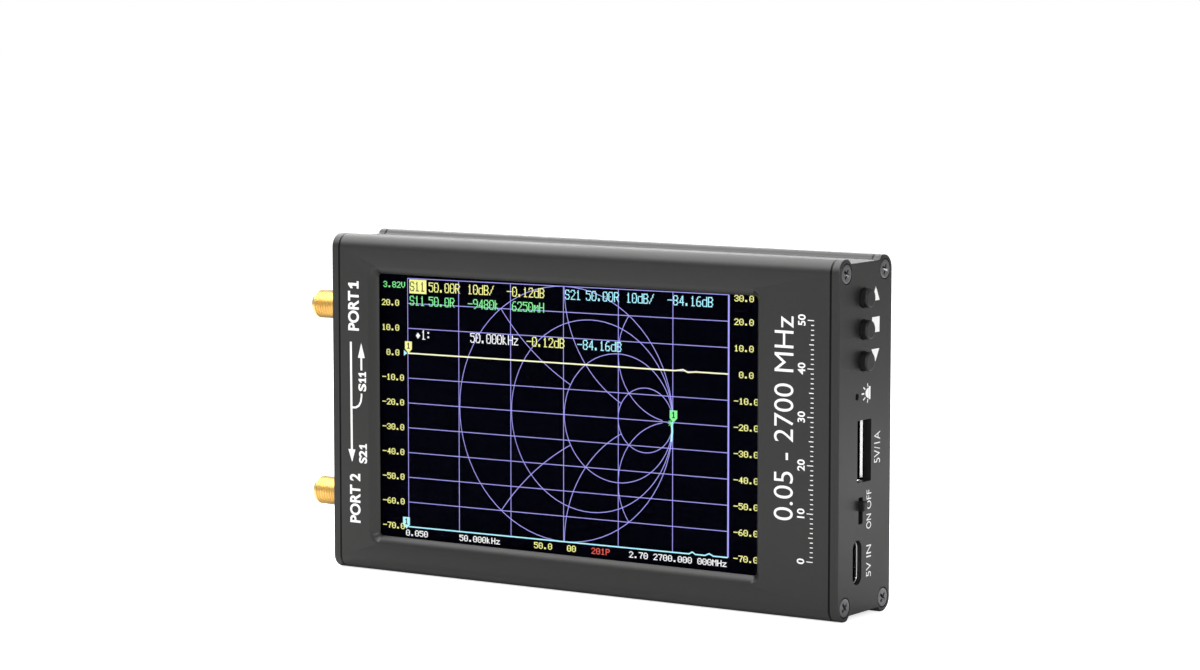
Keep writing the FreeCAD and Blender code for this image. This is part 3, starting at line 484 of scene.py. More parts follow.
@dataclass(frozen=True)
class Axis:
    """A line along X that a turned piece is built about."""

    y: float
    z: float

    def ring(
        self, x: float | Sequence[float], radii: Sequence[float], turns: Sequence[float],
    ) -> list[Vector]:
        """Places one ring of points.

        Args:
            x: where the ring lies, one value or one for each point.
            radii: the radius of each point.
            turns: the angle of each point, in radians.

        Returns:
            The points, in metres.
        """
        along = x if isinstance(x, Sequence) else [x] * len(turns)
        return [place(a, self.y + r * math.cos(t), self.z + r * math.sin(t))
                for a, r, t in zip(along, radii, turns)]


@dataclass(frozen=True)
class Thread:
    """A cut thread of the unified form, right-handed."""

    crest: float
    pitch: float
    nose: float = 0.9
    nose_drop: float = 0.55
    run_in: float = 0.35
    stops: tuple[float, ...] = (0.0, 0.13, 0.42, 0.71)
    depth_in_pitches: float = 0.6134

    def radius(self, along: float, turn: float) -> float:
        """Gives the thread's radius at one point.

        Args:
            along: distance from the thread's start.
            turn: angle about its axis, in radians.

        Returns:
            The radius there.
        """
        crest_end, root_start, root_end = self.stops[1:]
        phase = (along / self.pitch - turn / math.tau) % 1.0
        cut = 1.0
        if phase <= crest_end:
            cut = 0.0
        elif phase < root_start:
            cut = (phase - crest_end) / (root_start - crest_end)
        elif phase > root_end:
            cut = (1.0 - phase) / (1.0 - root_end)
        cut *= min(max((along - self.nose) / self.run_in, 0.0), 1.0)
        rounded = self.nose_drop * max(0.0, 1.0 - along / self.nose) ** 2
        return self.crest - max(self.depth_in_pitches * self.pitch * cut, rounded)

    def rings(self, length: float, turns: Sequence[float]) -> list[tuple[list[float], list[float]]]:
        """Lays rings that follow the helix, so that its crests stay crisp.

        Args:
            length: how long the thread is.
            turns: the angle of each point of a ring.

        Returns:
            For each ring, the distances along the thread and the radii.
        """
        made = []
        for lap in range(math.ceil(length / self.pitch) + 2):
            for stop in self.stops:
                along = [min(max((lap - 1 + stop + t / math.tau) * self.pitch, 0.0), length)
                         for t in turns]
                made.append((along, [self.radius(a, t) for a, t in zip(along, turns)]))
        return made


@dataclass
class CoaxialPort:
    """One threaded jack on the port end plate, with its insulator, contact, washer and nut."""

    number: int
    height: float
    axis_y: float = -1.68
    tip: float = -76.0
    thread: Thread = Thread(3.175, 0.7056)
    thread_end: float = -67.5
    shank: float = 2.95
    plate: float = -63.0
    flange_end: float = -61.4
    flange_half: float = 3.175
    flange_corner: float = 1.38
    mouth: float = 2.3
    mouth_edge: float = 0.12
    mouth_depth: float = 1.9
    bore: float = 2.05
    prong_end: float = -57.9
    prong_width: float = 1.0
    prong_height: float = 1.2
    prong_root: float = 0.8
    prong_edge: float = 0.08
    board: Point2 = (-1.3, 0.3)
    points: int = 96

    def build(self, nodes: dict[str, bpy.types.Object]) -> None:
        """Builds the jack's body with its cut thread and dresses the rest.

        Args:
            nodes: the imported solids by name.
        """
        name = f"port_{self.number}"
        turns = [math.tau * k / self.points for k in range(self.points)]
        axis = Axis(self.axis_y, self.height)
        shape = Shape()

        def even(x: float, radius: float) -> list[Vector]:
            """Places a plain round ring."""
            return axis.ring(x, [radius] * len(turns), turns)

        outside = [axis.ring([self.tip + a for a in along], radii, turns)
                   for along, radii in self.thread.rings(self.thread_end - self.tip, turns)]
        # Each turn's falling flank and root take the painted shade of the grooves.
        grooves = [1 if k % 4 in (1, 2) else 0 for k in range(len(outside))]
        shape.skin(outside + [
            even(self.thread_end, self.shank), even(self.plate, self.shank),
            even(self.plate, self.bore), even(self.tip + self.mouth_depth, self.bore),
            even(self.tip + self.mouth_depth, self.mouth),
            even(self.tip + self.mouth_edge, self.mouth), even(self.tip, self.mouth + self.mouth_edge),
        ], looped=True, paint=grooves)
        square = [min(self.flange_half / max(abs(math.cos(t)), abs(math.sin(t))),
                      self.flange_half * self.flange_corner) for t in turns]
        shape.skin([axis.ring(self.plate, square, turns), axis.ring(self.flange_end, square, turns),
                    even(self.flange_end, self.bore), even(self.plate, self.bore)], looped=True)
        for side in (-1, 1):
            far = self.height + side * self.flange_half
            near = far - side * self.prong_width
            for face, out in zip(self.board, (-1, 1)):
                ends = sorted((face, face + out * self.prong_height))
                shape.block(place(self.flange_end - self.prong_root, ends[0], min(far, near)),
                            place(self.prong_end, ends[1], max(far, near)), self.prong_edge * MM)
        add_piece(f"{name}_threaded_body", shape.finish(), [GOLD_PLATED_BRASS, SHADED_GROOVE_GOLD],
                  [f"{name}_body"], smooth_below=28.0)
        dress(nodes, GOLD_PLATED_BRASS, f"{name}_contact", f"{name}_washer", f"{name}_nut")
        dress(nodes, MACHINED_PTFE, f"{name}_insulator")


@dataclass
class PlateScrews:
    """Four countersunk cross-recess screws of one end plate."""

    name: str
    face: float
    out: int
    rows_y: Point2 = (-8.0, 8.0)
    rows_z: Point2 = (3.0, 72.0)
    seat: float = 2.2
    head: float = 2.0
    rim: float = 0.2
    shank: float = 1.25
    length: float = 8.0
    edge: float = 0.15
    recess_span: float = 1.25
    recess_half: float = 0.31
    recess_depth: float = 1.1
    recess_floor: float = 0.25
    lip_depth: float = 0.06
    lip: float = 0.93
    flat: float = 0.78
    point: float = 0.3

    def turns(self) -> list[float]:
        """Lists the angles that the recess's corners and the round head both need."""
        arm = math.degrees(math.atan2(self.recess_half, self.recess_span))
        quarter = [0.0, arm * 0.5, arm, arm + 0.8, 20.0, 28.0, 36.0, 45.0, 54.0, 62.0, 70.0,
                   90 - arm - 0.8, 90 - arm, 90 - arm * 0.5]
        return [math.radians(a + 90 * q) for q in range(4) for a in quarter]

    def cross(self, turn: float, scale: float) -> float:
        """Gives the radius of the cross-shaped recess.

        Args:
            turn: the angle, in radians.
            scale: the recess's size at this depth, from 0 to 1.

        Returns:
            The radius of its outline there.
        """
        c, s = abs(math.cos(turn)), abs(math.sin(turn))
        span, half = self.recess_span * scale, self.recess_half * (0.35 + 0.65 * scale)
        one_bar = min(span / max(c, TINY), half / max(s, TINY))
        return max(one_bar, min(span / max(s, TINY), half / max(c, TINY)))

    def build(self, solid: str) -> None:
        """Builds the four screws as one piece.

        Args:
            solid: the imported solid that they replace.
        """
        turns = self.turns()
        cone = self.rim + self.seat - self.shank
        shape = Shape()
        for y in self.rows_y:
            for k, z in enumerate(self.rows_z):
                twist = 0.35 * k + 0.11 * y
                spun = [t + twist for t in turns]
                axis = Axis(y, z)

                def level(depth: float, radii: Sequence[float]) -> list[Vector]:
                    """Places a ring at a depth under the plate's face."""
                    return axis.ring(self.face - self.out * depth, radii, spun)

                def even(depth: float, radius: float) -> list[Vector]:
                    """Places a round ring at a depth under the plate's face."""
                    return level(depth, [radius] * len(turns))

                # The recess's floor and walls take the painted recess shade.
                shape.skin([
                    even(self.recess_depth, 0.0),
                    level(self.recess_depth, [self.cross(t, self.recess_floor) for t in turns]),
                    level(self.lip_depth, [self.cross(t, self.lip) for t in turns]),
                    level(0.0, [self.cross(t, 1.0) for t in turns]),
                    even(0.0, self.head * self.flat), even(0.0, self.head - self.edge),
                    even(self.edge * 0.3, self.head - self.edge * 0.3), even(self.edge, self.head),
                    even(self.rim + self.seat - self.head, self.head),
                    even(cone, self.shank), even(self.length - self.point, self.shank),
                    even(self.length, self.shank - self.point), even(self.length, 0.0),
                ], paint=(1, 1, 1))
        add_piece(self.name, shape.finish(), [BLACK_ZINC_STEEL, SHADED_RECESS], [solid],
                  smooth_below=30.0)


@dataclass
class Drawing:
    """Flat shapes laid on one face, in that face's own millimetres."""

    name: str
    to_space: Callable[[float, float], Vector]
    shapes: list[list[Point2]] = field(default_factory=list)

    def polygon(self, *points: Point2) -> None:
        """Adds one filled outline."""
        self.shapes.append(list(points))

    def bar(self, x0: float, y0: float, x1: float, y1: float) -> None:
        """Adds a rectangle between two corners."""
        self.polygon((x0, y0), (x1, y0), (x1, y1), (x0, y1))

    def line(self, points: Sequence[Point2], width: float) -> None:
        """Adds a line through points, mitred at each, so that it nowhere overlaps itself.

        Args:
            points: the points it passes.
            width: its width.
        """
        spots = [Vector(p) for p in points]
        spots = [p for k, p in enumerate(spots) if k == 0 or (p - spots[k - 1]).length > 1e-6]
        ways = [(b - a).normalized() for a, b in zip(spots, spots[1:])]
        edges = []
        for spot, before, after in zip(spots, ways[:1] + ways, ways + ways[-1:]):
            along = (before + after).normalized()
            out = Vector((-along.y, along.x)) * (width / 2 / max(along.dot(before), 0.4))
            edges.append((tuple(spot + out), tuple(spot - out)))
        for (a, b), (c, d) in zip(edges, edges[1:]):
            self.polygon(a, b, d, c)

    def circle(self, centre: Point2, radius: float, width: float) -> None:
        """Adds a circle.

        Args:
            centre: its centre.
            radius: its radius.
            width: the width of its line.
        """
        steps = 72
        turns = [math.radians(360.0 * k / steps) for k in range(steps + 1)]
        self.line([(centre[0] + radius * math.cos(t), centre[1] + radius * math.sin(t))
                   for t in turns], width)

    def words(
        self, text: str, box: tuple[float, float, float, float], weight: float = 0.0,
        even: bool = False,
    ) -> None:
        """Adds printed figures that read upwards and fill a box.

        Args:
            text: what they read.
            box: left, bottom, right and top of the box.
            weight: how much the strokes are thickened, in parts of the letter size.
            even: whether the figures keep their proportions, at the box's middle.
        """
        curve = bpy.data.curves.new(f"{self.name}_type", "FONT")
        curve.body = text
        curve.offset = weight
        curve.resolution_u = 5
        holder = bpy.data.objects.new(curve.name, curve)
        mesh = bpy.data.meshes.new_from_object(holder)
        spots = [(-v.co.y, v.co.x) for v in mesh.vertices]
        low = [min(s[k] for s in spots) for k in (0, 1)]
        span = [max(s[k] for s in spots) - low[k] for k in (0, 1)]
        scale = [(box[k + 2] - box[k]) / span[k] for k in (0, 1)]
        if even:
            scale[1] = scale[0]
        middle = [(box[k] + box[k + 2]) / 2 for k in (0, 1)]
        fit = [tuple(middle[k] + (s[k] - low[k] - span[k] / 2) * scale[k] for k in (0, 1))
               for s in spots]
        self.shapes.extend([fit[i] for i in face.vertices] for face in mesh.polygons)
        bpy.data.objects.remove(holder)
        bpy.data.curves.remove(curve)
        bpy.data.meshes.remove(mesh)

    def one(self, box: tuple[float, float, float, float], stroke: float) -> None:
        """Adds an upward-reading figure one with a flag and a foot.

        Args:
            box: left, bottom, right and top of the figure.
            stroke: the width of its strokes.
        """
        left, bottom, right, top = box
        low = (bottom + top) / 2 + 0.04 * (top - bottom) - stroke / 2
        high, foot, drop = low + stroke, right - 0.85 * stroke, 0.22 * (right - left)
        self.polygon((left, high), (foot, high), (foot, top), (right, top), (right, bottom),
                     (foot, bottom), (foot, low), (left + 1.6 * drop, low),
                     (left + 2.0 * drop, bottom), (left + drop, bottom), (left, low + 0.3 * stroke))

    def build(self, finish: Finish, slot: Slot) -> None:
        """Turns the shapes into one piece.

        Args:
            finish: its finish.
            slot: a material slot's name; not used.
        """
        made = bpy.data.meshes.new(self.name)
        spots: list[Vector] = []
        faces: list[list[int]] = []
        for shape in self.shapes:
            faces.append(list(range(len(spots), len(spots) + len(shape))))
            spots.extend(self.to_space(x, y) for x, y in shape)
        made.from_pydata(spots, [], faces)
        made.validate()
        add_piece(self.name, made, [finish])


# Strokes of the display's figures on a grid four wide and six high, as pairs of column and row.
STROKES: dict[str, str] = {
    "0": "01 05 16 36 45 41 30 10 01,23 23", "1": "15 26 20,10 30", "2": "05 16 36 45 44 00 40",
    "3": "05 16 36 45 44 33 23,33 42 41 30 10 01", "4": "30 36 02 42", "5": "46 06 04 34 43 41 30 10 01",
    "6": "36 26 04 01 10 30 41 42 33 03", "7": "06 46 45 22 20",
    "8": "13 04 05 16 36 45 44 33 13 02 01 10 30 41 42 33", "9": "10 20 42 45 36 16 05 04 13 43",
    ".": "10 20 21 11 10", "-": "03 43", "/": "00 46", ":": "11 21,12 22,14 24,15 25", " ": "",
    "d": "46 40 10 01 03 14 44", "B": "00 06 36 45 44 33 03,33 42 41 30 00", "k": "06 00,02 24,12 30",
    "H": "00 06,40 46,03 43", "z": "04 44 00 40", "M": "00 06 24 46 40", "V": "06 02 20 42 46",
    "m": "00 04 14 22 34 44 40", "S": "45 36 16 05 04 13 33 42 41 30 10 01", "P": "00 06 36 45 44 33 03",
    "R": "00 06 36 45 44 33 03,23 40",
}


@dataclass(frozen=True)
class DotType:
    """One size of the display's figures, made of its dots."""

    columns: int
    rows: int
    dot: Point2 = (0.205, 0.193)
    swell: float = 0.025

    def lit(self, character: str) -> set[tuple[int, int]]:
        """Lists the dots that one character lights.

        Args:
            character: the character.

        Returns:
            Columns and rows of its dots, from its lower left.
        """
        dots: set[tuple[int, int]] = set()
        for stroke in STROKES[character].split(","):
            stops = [(round(int(p[0]) * (self.columns - 1) / 4),
                      round(int(p[1]) * (self.rows - 1) / 6)) for p in stroke.split()]
            for (c0, r0), (c1, r1) in zip(stops, stops[1:]):
                steps = max(abs(c1 - c0), abs(r1 - r0), 1)
                dots.update((round(c0 + (c1 - c0) * k / steps), round(r0 + (r1 - r0) * k / steps))
                            for k in range(steps + 1))
        return dots

    def write(self, drawing: Drawing, text: str, x: float, z: float) -> None:
        """Lights a line of figures.

        Args:
            drawing: the drawing that takes the dots.
            text: what it reads.
            x: its left end.
            z: its lower edge.
        """
        for index, character in enumerate(text):
            left = x + index * (self.columns + 1) * self.dot[0]
            dots = self.lit(character)
            for column, row in sorted(dots):
                if (column - 1, row) in dots:
                    continue
                end = column
                while (end + 1, row) in dots:
                    end += 1
                drawing.bar(left + column * self.dot[0] - self.swell, z + row * self.dot[1],
                            left + (end + 1) * self.dot[0] + self.swell, z + (row + 1) * self.dot[1])


@dataclass
class Display:
    """Touch glass, gasket, liquid crystal cell with its lit picture, backlight and cushions."""

    glass_rear: float = -7.6
    cell_gap: float = 0.05
    picture_gap: float = 0.03
    grid_x: tuple[float, ...] = (-46.65, -32.8, -18.95, -5.1, 9.0, 22.75, 36.5)
    zero_z: float = 49.37
    division: float = 5.54
    line_width: float = 0.155
    tilt: float = 0.0072
    chart_centre: Point2 = (-4.9, 38.3)
    chart_radius: float = 27.7
    small: DotType = DotType(5, 7)
    large: DotType = DotType(6, 11)

    def sheet(self, light: Light, layer: int) -> Drawing:
        """Starts a drawing of one colour in its own thin layer behind the glass.

        Args:
            light: the colour.
            layer: how many layers it lies towards the viewer.

        Returns:
            The empty drawing.
        """
        return Drawing(f"picture_{light.name.lower()}_{layer}", self.plane(0.004 * layer))

    def plane(self, towards_viewer: float) -> Callable[[float, float], Vector]:
        """Gives the plane of one layer, on which the picture sits a touch askew.

        Args:
            towards_viewer: how far it lies in front of the lowest layer.

        Returns:
            The function from the picture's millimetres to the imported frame.
        """
        y = self.glass_rear + self.picture_gap - towards_viewer
        return lambda u, v: place(u, y, v + self.tilt * (u - self.chart_centre[0]))

    def level(self, value: float) -> float:
        """Gives the height of a value on the picture's scale."""
        return self.zero_z + value / 10 * self.division

    def gamma(self, r: float, x: float) -> Point2:
        """Gives the place of an impedance on the round chart.

        Args:
            r: its resistance, over the line's.
            x: its reactance, over the line's.

        Returns:
            The point on the picture.
        """
        g = complex(r - 1, x) / complex(r + 1, x)
        return (self.chart_centre[0] + self.chart_radius * g.real,
                self.chart_centre[1] + self.chart_radius * g.imag)

    def draw_grid(self) -> None:
        """Draws the square grid and the round chart over it."""
        grid = self.sheet(Light.GRID, 0)
        left, right = self.grid_x[0], self.grid_x[-1]
        half = self.line_width / 2
        for x in self.grid_x[:-1]:
            grid.bar(x - half, self.level(-70), x + half, self.level(30))
        for value in range(-60, 40, 10):
            grid.bar(left, self.level(value) - half, right, self.level(value) + half)
        for r in (0.0, 1 / 3, 1.0, 3.0):
            radius = self.chart_radius / (1 + r)
            middle = (self.chart_centre[0] + self.chart_radius - radius, self.chart_centre[1])
            grid.circle(middle, radius, self.line_width)
        for x, last in ((0.5, 1.0), (1.0, 3.0), (2.0, 20.0)):
            for side in (-1, 1):
                stops = [last * (k / 26) ** 2 for k in range(27)]
                grid.line([self.gamma(r, side * x) for r in stops], self.line_width)
        grid.build(Light.GRID.finish(), Slot.LCD)
        edge = self.sheet(Light.EDGE, 1)
        edge.bar(right - 0.15, self.level(-70), right + 0.25, self.level(30))
        edge.build(Light.EDGE.finish(), Slot.LCD)

    def draw_traces(self) -> None:
        """Draws the two measured lines and the chart's short arc."""
        left, right = self.grid_x[0], self.grid_x[-1]
        zero, floor = self.level(0), self.level(-70)
        first = self.sheet(Light.PALE_YELLOW, 2)
        first.line([(left, zero), (23.25, zero), (25.36, zero + 0.3), (26.5, zero - 0.2),
                    (28.45, zero), (right, zero)], 0.3)
        first.build(Light.PALE_YELLOW.finish(), Slot.LCD)
        second = self.sheet(Light.CYAN, 2)
        second.line([(left, floor), (26.9, floor), (27.7, floor + 0.45), (28.5, floor),
                     (30.9, floor), (31.9, floor + 0.45), (32.9, floor), (right, floor)], 0.28)
        u, v = self.gamma(200.0, 0.0)
        second.line([(u, v), (u + 0.12, v - 2.0), (u - 0.15, v - 4.1)], 0.5)
        second.build(Light.CYAN.finish(), Slot.LCD)

    def draw_figures(self) -> None:
        """Lights the scale figures, the two header rows, the marker row and the footer."""
        yellow, green = self.sheet(Light.YELLOW, 3), self.sheet(Light.GREEN, 3)
        cyan, white = self.sheet(Light.CYAN, 3), self.sheet(Light.WHITE, 3)
        red = self.sheet(Light.RED, 3)
        dark = Drawing("picture_unlit_figures", self.plane(0.018))
        half = self.small.rows * self.small.dot[1] / 2
        for value in range(-70, 40, 10):
            words = f"{value:.1f}" if value else " 0.0"
            if value < 30:
                self.small.write(yellow, words, -53.75, self.level(value) - half)
            self.small.write(yellow, words, 37.9, min(self.level(value) - half, 64.7))
        self.small.write(green, "3.82V", -53.3, 63.8)
        yellow.bar(-46.15, 62.7, -41.5, 65.8)
        self.large.write(dark, "S11", -46.0, 63.2)
        for words, x in (("50.00R", -40.85), ("10dB/", -30.3), ("-0.12dB", -19.9)):
            self.large.write(yellow, words, x, 63.2)
        for words, x in (("S21", -4.66), ("50.00R", 0.75), ("10dB/", 11.05), ("-84.16dB", 21.4)):
            self.large.write(cyan, words, x, 63.2)
        for words, x in (("S11", -46.05), ("50.0R", -40.87), ("-9480k", -30.3), ("6250mH", -18.55)):
            self.large.write(green, words, x, 60.05)
        cyan.polygon((-47.75, 50.0), (-46.8, 49.37), (-47.75, 48.75))
        white.polygon((-44.45, 53.4), (-43.85, 52.7), (-43.25, 53.4), (-43.85, 54.1))
        self.large.write(white, "1:", -42.9, 52.6)
        self.large.write(white, "50.000kHz", -29.66, 52.6)
        self.large.write(yellow, "-0.12dB", -14.7, 52.6)
        self.large.write(cyan, "-84.16dB", -1.47, 52.6)
        for words, x in (("0.050", -47.4), ("50.000kHz", -32.8), ("2.70 2700.000 000MHz", 11.8)):
            self.small.write(white, words, x, 8.55)
        self.small.write(yellow, "50.0", -12.86, 8.55)
        self.small.write(yellow, "00", -4.2, 8.55)
        self.small.write(red, "201P", 2.1, 8.55)
        for sheet, x, z in ((yellow, -46.5, 49.4), (cyan, -47.3, 10.1), (green, 22.95, 38.3)):
            sheet.polygon((x - 0.95, z + 0.9), (x, z), (x + 0.95, z + 0.9),
                          (x + 0.95, z + 2.6), (x - 0.95, z + 2.6))
            self.small.write(dark, "1", x - 0.5, z + 0.95)
        for turn in range(4):
            angle = math.pi * turn / 4
            u, v = 0.75 * math.cos(angle), 0.75 * math.sin(angle)
            green.line([(22.3 - u, 38.1 - v), (22.3 + u, 38.1 + v)], 0.16)
        for sheet, light in ((yellow, Light.YELLOW), (green, Light.GREEN), (cyan, Light.CYAN),
                             (white, Light.WHITE), (red, Light.RED)):
            sheet.build(light.finish(), Slot.LCD)
        dark.build(UNLIT_POLARISER, Slot.LCD)

    def build(self, nodes: dict[str, bpy.types.Object]) -> None:
        """Builds the cell with its picture and dresses the layers round it.

        Args:
            nodes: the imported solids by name.
        """
        low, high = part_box("lcd_cell")
        low.y += self.cell_gap * MM
        cell = Shape()
        cell.block(low, high, 0.1 * MM)
        add_piece("lcd_cell_with_polariser", cell.finish(), [UNLIT_POLARISER], ["lcd_cell"])
        self.draw_grid()
        self.draw_traces()
        self.draw_figures()
        dress(nodes, COATED_GLASS, "touch_panel")
        dress(nodes, CUT_FOAM, "display_gasket", "display_cushions")
        dress(nodes, MOULDED_TRAY, "backlight")
        dress(nodes, POLYIMIDE_FILM, "display_ribbon")
        dress(nodes, MOULDED_BLACK_NYLON, "ribbon_socket")


@dataclass
class FrontPrint:
    """White marks printed on the front of the case."""

    face: float = -11.0
    proud: float = 0.012
    scale_foot: float = 12.4
    scale_right: float = 59.1
    scale_end: int = 50
    ticks: tuple[float, float, float] = (1.5, 1.1, 0.7)
    tick_half: float = 0.09
    figures_x: Point2 = (55.3, 57.1)
    figure_half: float = 0.65

    def build(self) -> None:
        """Prints the port names, the signal paths, the frequency range and a scale."""
        ink = Drawing("front_print", lambda u, v: place(u, self.face - self.proud, v))
        ink.words("PORT", (-60.6, 53.7, -57.55, 62.5), 0.03)
        ink.one((-60.5, 63.1, -57.6, 64.75), 0.62)
        ink.words("PORT 2", (-60.4, 10.6, -57.45, 21.65), 0.03)
        ink.line([(-59.87, 51.15), (-59.78, 27.05)], 0.55)
        ink.polygon((-60.75, 27.05), (-59.72, 24.2), (-58.8, 27.05))
        ink.line([(-59.54, 36.45), (-58.6, 36.5), (-57.75, 36.95), (-57.2, 37.85), (-57.0, 39.0),
                  (-56.98, 39.7)], 0.45)
        ink.line([(-56.98, 44.9), (-56.98, 47.7)], 0.5)
        ink.polygon((-57.9, 47.7), (-56.0, 47.7), (-56.98, 51.0))
        ink.words("S", (-57.85, 40.25, -55.65, 41.95), 0.035)
        ink.one((-57.8, 42.15, -55.7, 43.3), 0.45)
        ink.one((-57.8, 43.45, -55.7, 44.6), 0.45)
        ink.words("S2", (-57.8, 24.1, -55.55, 27.0), 0.035)
        ink.one((-57.75, 27.25, -55.6, 28.5), 0.45)
        ink.words("0.05 - 2700 MHz", (49.7, 20.6, 54.3, 63.0), -0.004)
        tens, fives, ones = self.ticks
        for value in range(self.scale_end + 1):
            z = self.scale_foot + value
            tick = tens if value % 10 == 0 else (fives if value % 5 == 0 else ones)
            ink.bar(self.scale_right - tick, z - self.tick_half, self.scale_right, z + self.tick_half)
        left, right = self.figures_x
        for value in range(0, self.scale_end + 1, 10):
            z = self.scale_foot + value
            ink.words(str(value), (left, z - self.figure_half, right, z + self.figure_half), 0.02,
                      even=True)
        ink.build(PAD_PRINTED_INK, Slot.CASE)


@dataclass
class EndPrint:
    """White marks printed on the control end plate."""

    face: float = 65.0
    proud: float = 0.012

    def build(self) -> None:
        """Prints the button signs, the lamp sign and the words at the sockets and switch."""
        ink = Drawing("end_print", lambda u, v: place(self.face + self.proud, u, v))
        ink.polygon((2.45, 65.7), (5.75, 65.7), (4.1, 68.65))
        ink.bar(2.6, 59.1, 5.75, 62.3)
        ink.polygon((2.45, 55.65), (4.1, 52.95), (5.75, 55.65))
        middle, dome = (1.42, 46.72), 1.08
        turns = [math.radians(90 + 15 * k) for k in range(13)]
        ink.polygon(*((middle[0] + 1.35 * math.cos(t), middle[1] + dome * math.sin(t)) for t in turns))
        ink.bar(1.5, middle[1] - 1.35, 2.15, middle[1] + 1.35)
        for degrees in (100, 140, 180, 220, 260):
            angle = math.radians(degrees)
            ink.line([(middle[0] + r * math.cos(angle), middle[1] + 0.69 * r * math.sin(angle))
                      for r in (1.85, 2.95)], 0.3)
        ink.words("5V/1A", (3.9, 31.7, 6.4, 38.3), -0.006)
        ink.words("OFF", (0.83, 22.45, 2.82, 26.45))
        ink.words("ON", (0.83, 18.3, 2.82, 21.4))
        ink.words("5V IN", (0.9, 8.2, 2.9, 14.9))
        ink.build(PAD_PRINTED_INK, Slot.CASE)


@dataclass
class Case:
    """Extruded shells and machined end plates."""

    parts: tuple[str, ...] = ("front_shell", "rear_shell", "port_end_plate", "control_end_plate")
    broken_edge: float = 0.15
    sharper_than: float = 50.0

    def build(self, nodes: dict[str, bpy.types.Object]) -> None:
        """Dresses the case's solids and breaks their edges, which opens the seams between them.

        Args:
            nodes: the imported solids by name.
        """
        dress(nodes, BLASTED_ALUMINIUM, *self.parts)
        for name in self.parts:
            weld = nodes[name].modifiers.new("joined_faces", "WELD")
            weld.merge_threshold = 0.002 * MM
            whole = nodes[name].modifiers.new("whole_faces", "DECIMATE")
            whole.decimate_type = "DISSOLVE"
            whole.angle_limit = math.radians(0.5)
            edges = nodes[name].modifiers.new("broken_edges", "BEVEL")
            edges.width = self.broken_edge * MM
            edges.segments = 2
            edges.limit_method = "ANGLE"
            edges.angle_limit = math.radians(self.sharper_than)
            flat = nodes[name].modifiers.new("flat_faces", "WEIGHTED_NORMAL")
            flat.mode = "FACE_AREA"
            flat.weight = 100


@dataclass
class Controls:
    """Button caps with their key switches, the slide switch and the lamp."""

    buttons: tuple[str, ...] = ("up", "enter", "down")

    def build(self, nodes: dict[str, bpy.types.Object]) -> None:
        """Dresses the controls.

        Args:
            nodes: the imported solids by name.
        """
        for name in self.buttons:
            dress(nodes, MOULDED_BLACK_ABS, f"{name}_button_cap")
            dress(nodes, MOULDED_BLACK_NYLON, f"{name}_key_plunger", f"{name}_key_switch")
        dress(nodes, MOULDED_BLACK_ABS, "power_switch_slider")
        dress(nodes, MOULDED_BLACK_NYLON, "power_switch_base")
        dress(nodes, TINNED_STEEL, "power_switch_case")
        dress(nodes, CAST_SMOKED_EPOXY, "status_lamp")


@dataclass
class Sockets:
    """USB sockets in the control end plate, with their gilt contacts."""

    usb_a_lit: float = 62.45
    usb_c_lit: float = 63.7
    bead_x: float = 64.02
    bead_centre: Point2 = (-2.93, 11.75)
    bead_reach: Point2 = (1.47, 4.31)
    bead: float = 0.17
    bead_steps: int = 64
    bead_sides: int = 12
    tongue_x: Point2 = (52.0, 59.92)
    tongue_y: float = -0.51
    tongue_z: float = 34.8
    pitch: float = 2.3
    width: float = 1.0
    strip_under: float = 0.03
    strip_over: float = 0.05
    strip_edge: float = 0.015

    def build(self, nodes: dict[str, bpy.types.Object]) -> None:
        """Dresses the sockets.

        Args:
            nodes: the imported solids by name.
        """
        # Each shell is painted lighter at its mouth as a painted highlight, and black further in as
        # painted shade.
        dress(nodes, shell_steel("tin_plated_usb_a_shell", self.usb_a_lit), "usb_a_shell")
        dress(nodes, shell_steel("tin_plated_usb_c_shell", self.usb_c_lit), "usb_c_shell")
        dress(nodes, MOULDED_BLACK_NYLON, "usb_a_insert", "usb_c_insert")
        self.add_bead()
        strips = Shape()
        for k in (-1.5, -0.5, 0.5, 1.5):
            z = self.tongue_z + self.pitch * k
            strips.block(
                place(self.tongue_x[0], self.tongue_y - self.strip_under, z - self.width / 2),
                place(self.tongue_x[1], self.tongue_y + self.strip_over, z + self.width / 2),
                self.strip_edge * MM)
        add_piece("usb_a_contact_strips", strips.finish(), [GOLD_PLATED_BRASS])

    def add_bead(self) -> None:
        """Adds the rolled bead round the USB-C shell's mouth."""
        straight = self.bead_reach[1] - self.bead_reach[0]
        rings = []
        for k in range(self.bead_steps):
            turn = math.tau * (k + 0.5) / self.bead_steps
            out = (math.cos(turn), math.sin(turn))
            spot = (self.bead_centre[0] + self.bead_reach[0] * out[0],
                    self.bead_centre[1] + self.bead_reach[0] * out[1] + math.copysign(straight, out[1]))
            rings.append([place(self.bead_x + self.bead * math.sin(a),
                                spot[0] + self.bead * math.cos(a) * out[0],
                                spot[1] + self.bead * math.cos(a) * out[1])
                          for a in (math.tau * j / self.bead_sides for j in range(self.bead_sides))])
        shape = Shape()
        shape.skin(rings, looped=True)
        add_piece("usb_c_mouth_bead", shape.finish(), [TINNED_STEEL])


@dataclass
class Inside:
    """Circuit board with its circuits, and the battery with its lead."""

    def build(self, nodes: dict[str, bpy.types.Object]) -> None:
        """Dresses what the case holds.

        Args:
            nodes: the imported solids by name.
        """
        dress(nodes, SOLDER_RESIST, "main_board")
        dress(nodes, MOULDED_PACKAGE_RESIN,
              "processor", "memory_chip", "charger_chip", "boost_inductor")
        dress(nodes, TINNED_STEEL,
              "clock_crystal", "port_1_shield", "port_2_shield", "source_shield")
        dress(nodes, FORMED_POUCH_FOIL, "battery_cell")
        dress(nodes, CUT_FOAM, "battery_tape")
        dress(nodes, EXTRUDED_SILICONE, "battery_leads")
        dress(nodes, MOULDED_WHITE_NYLON, "battery_plug", "battery_socket")


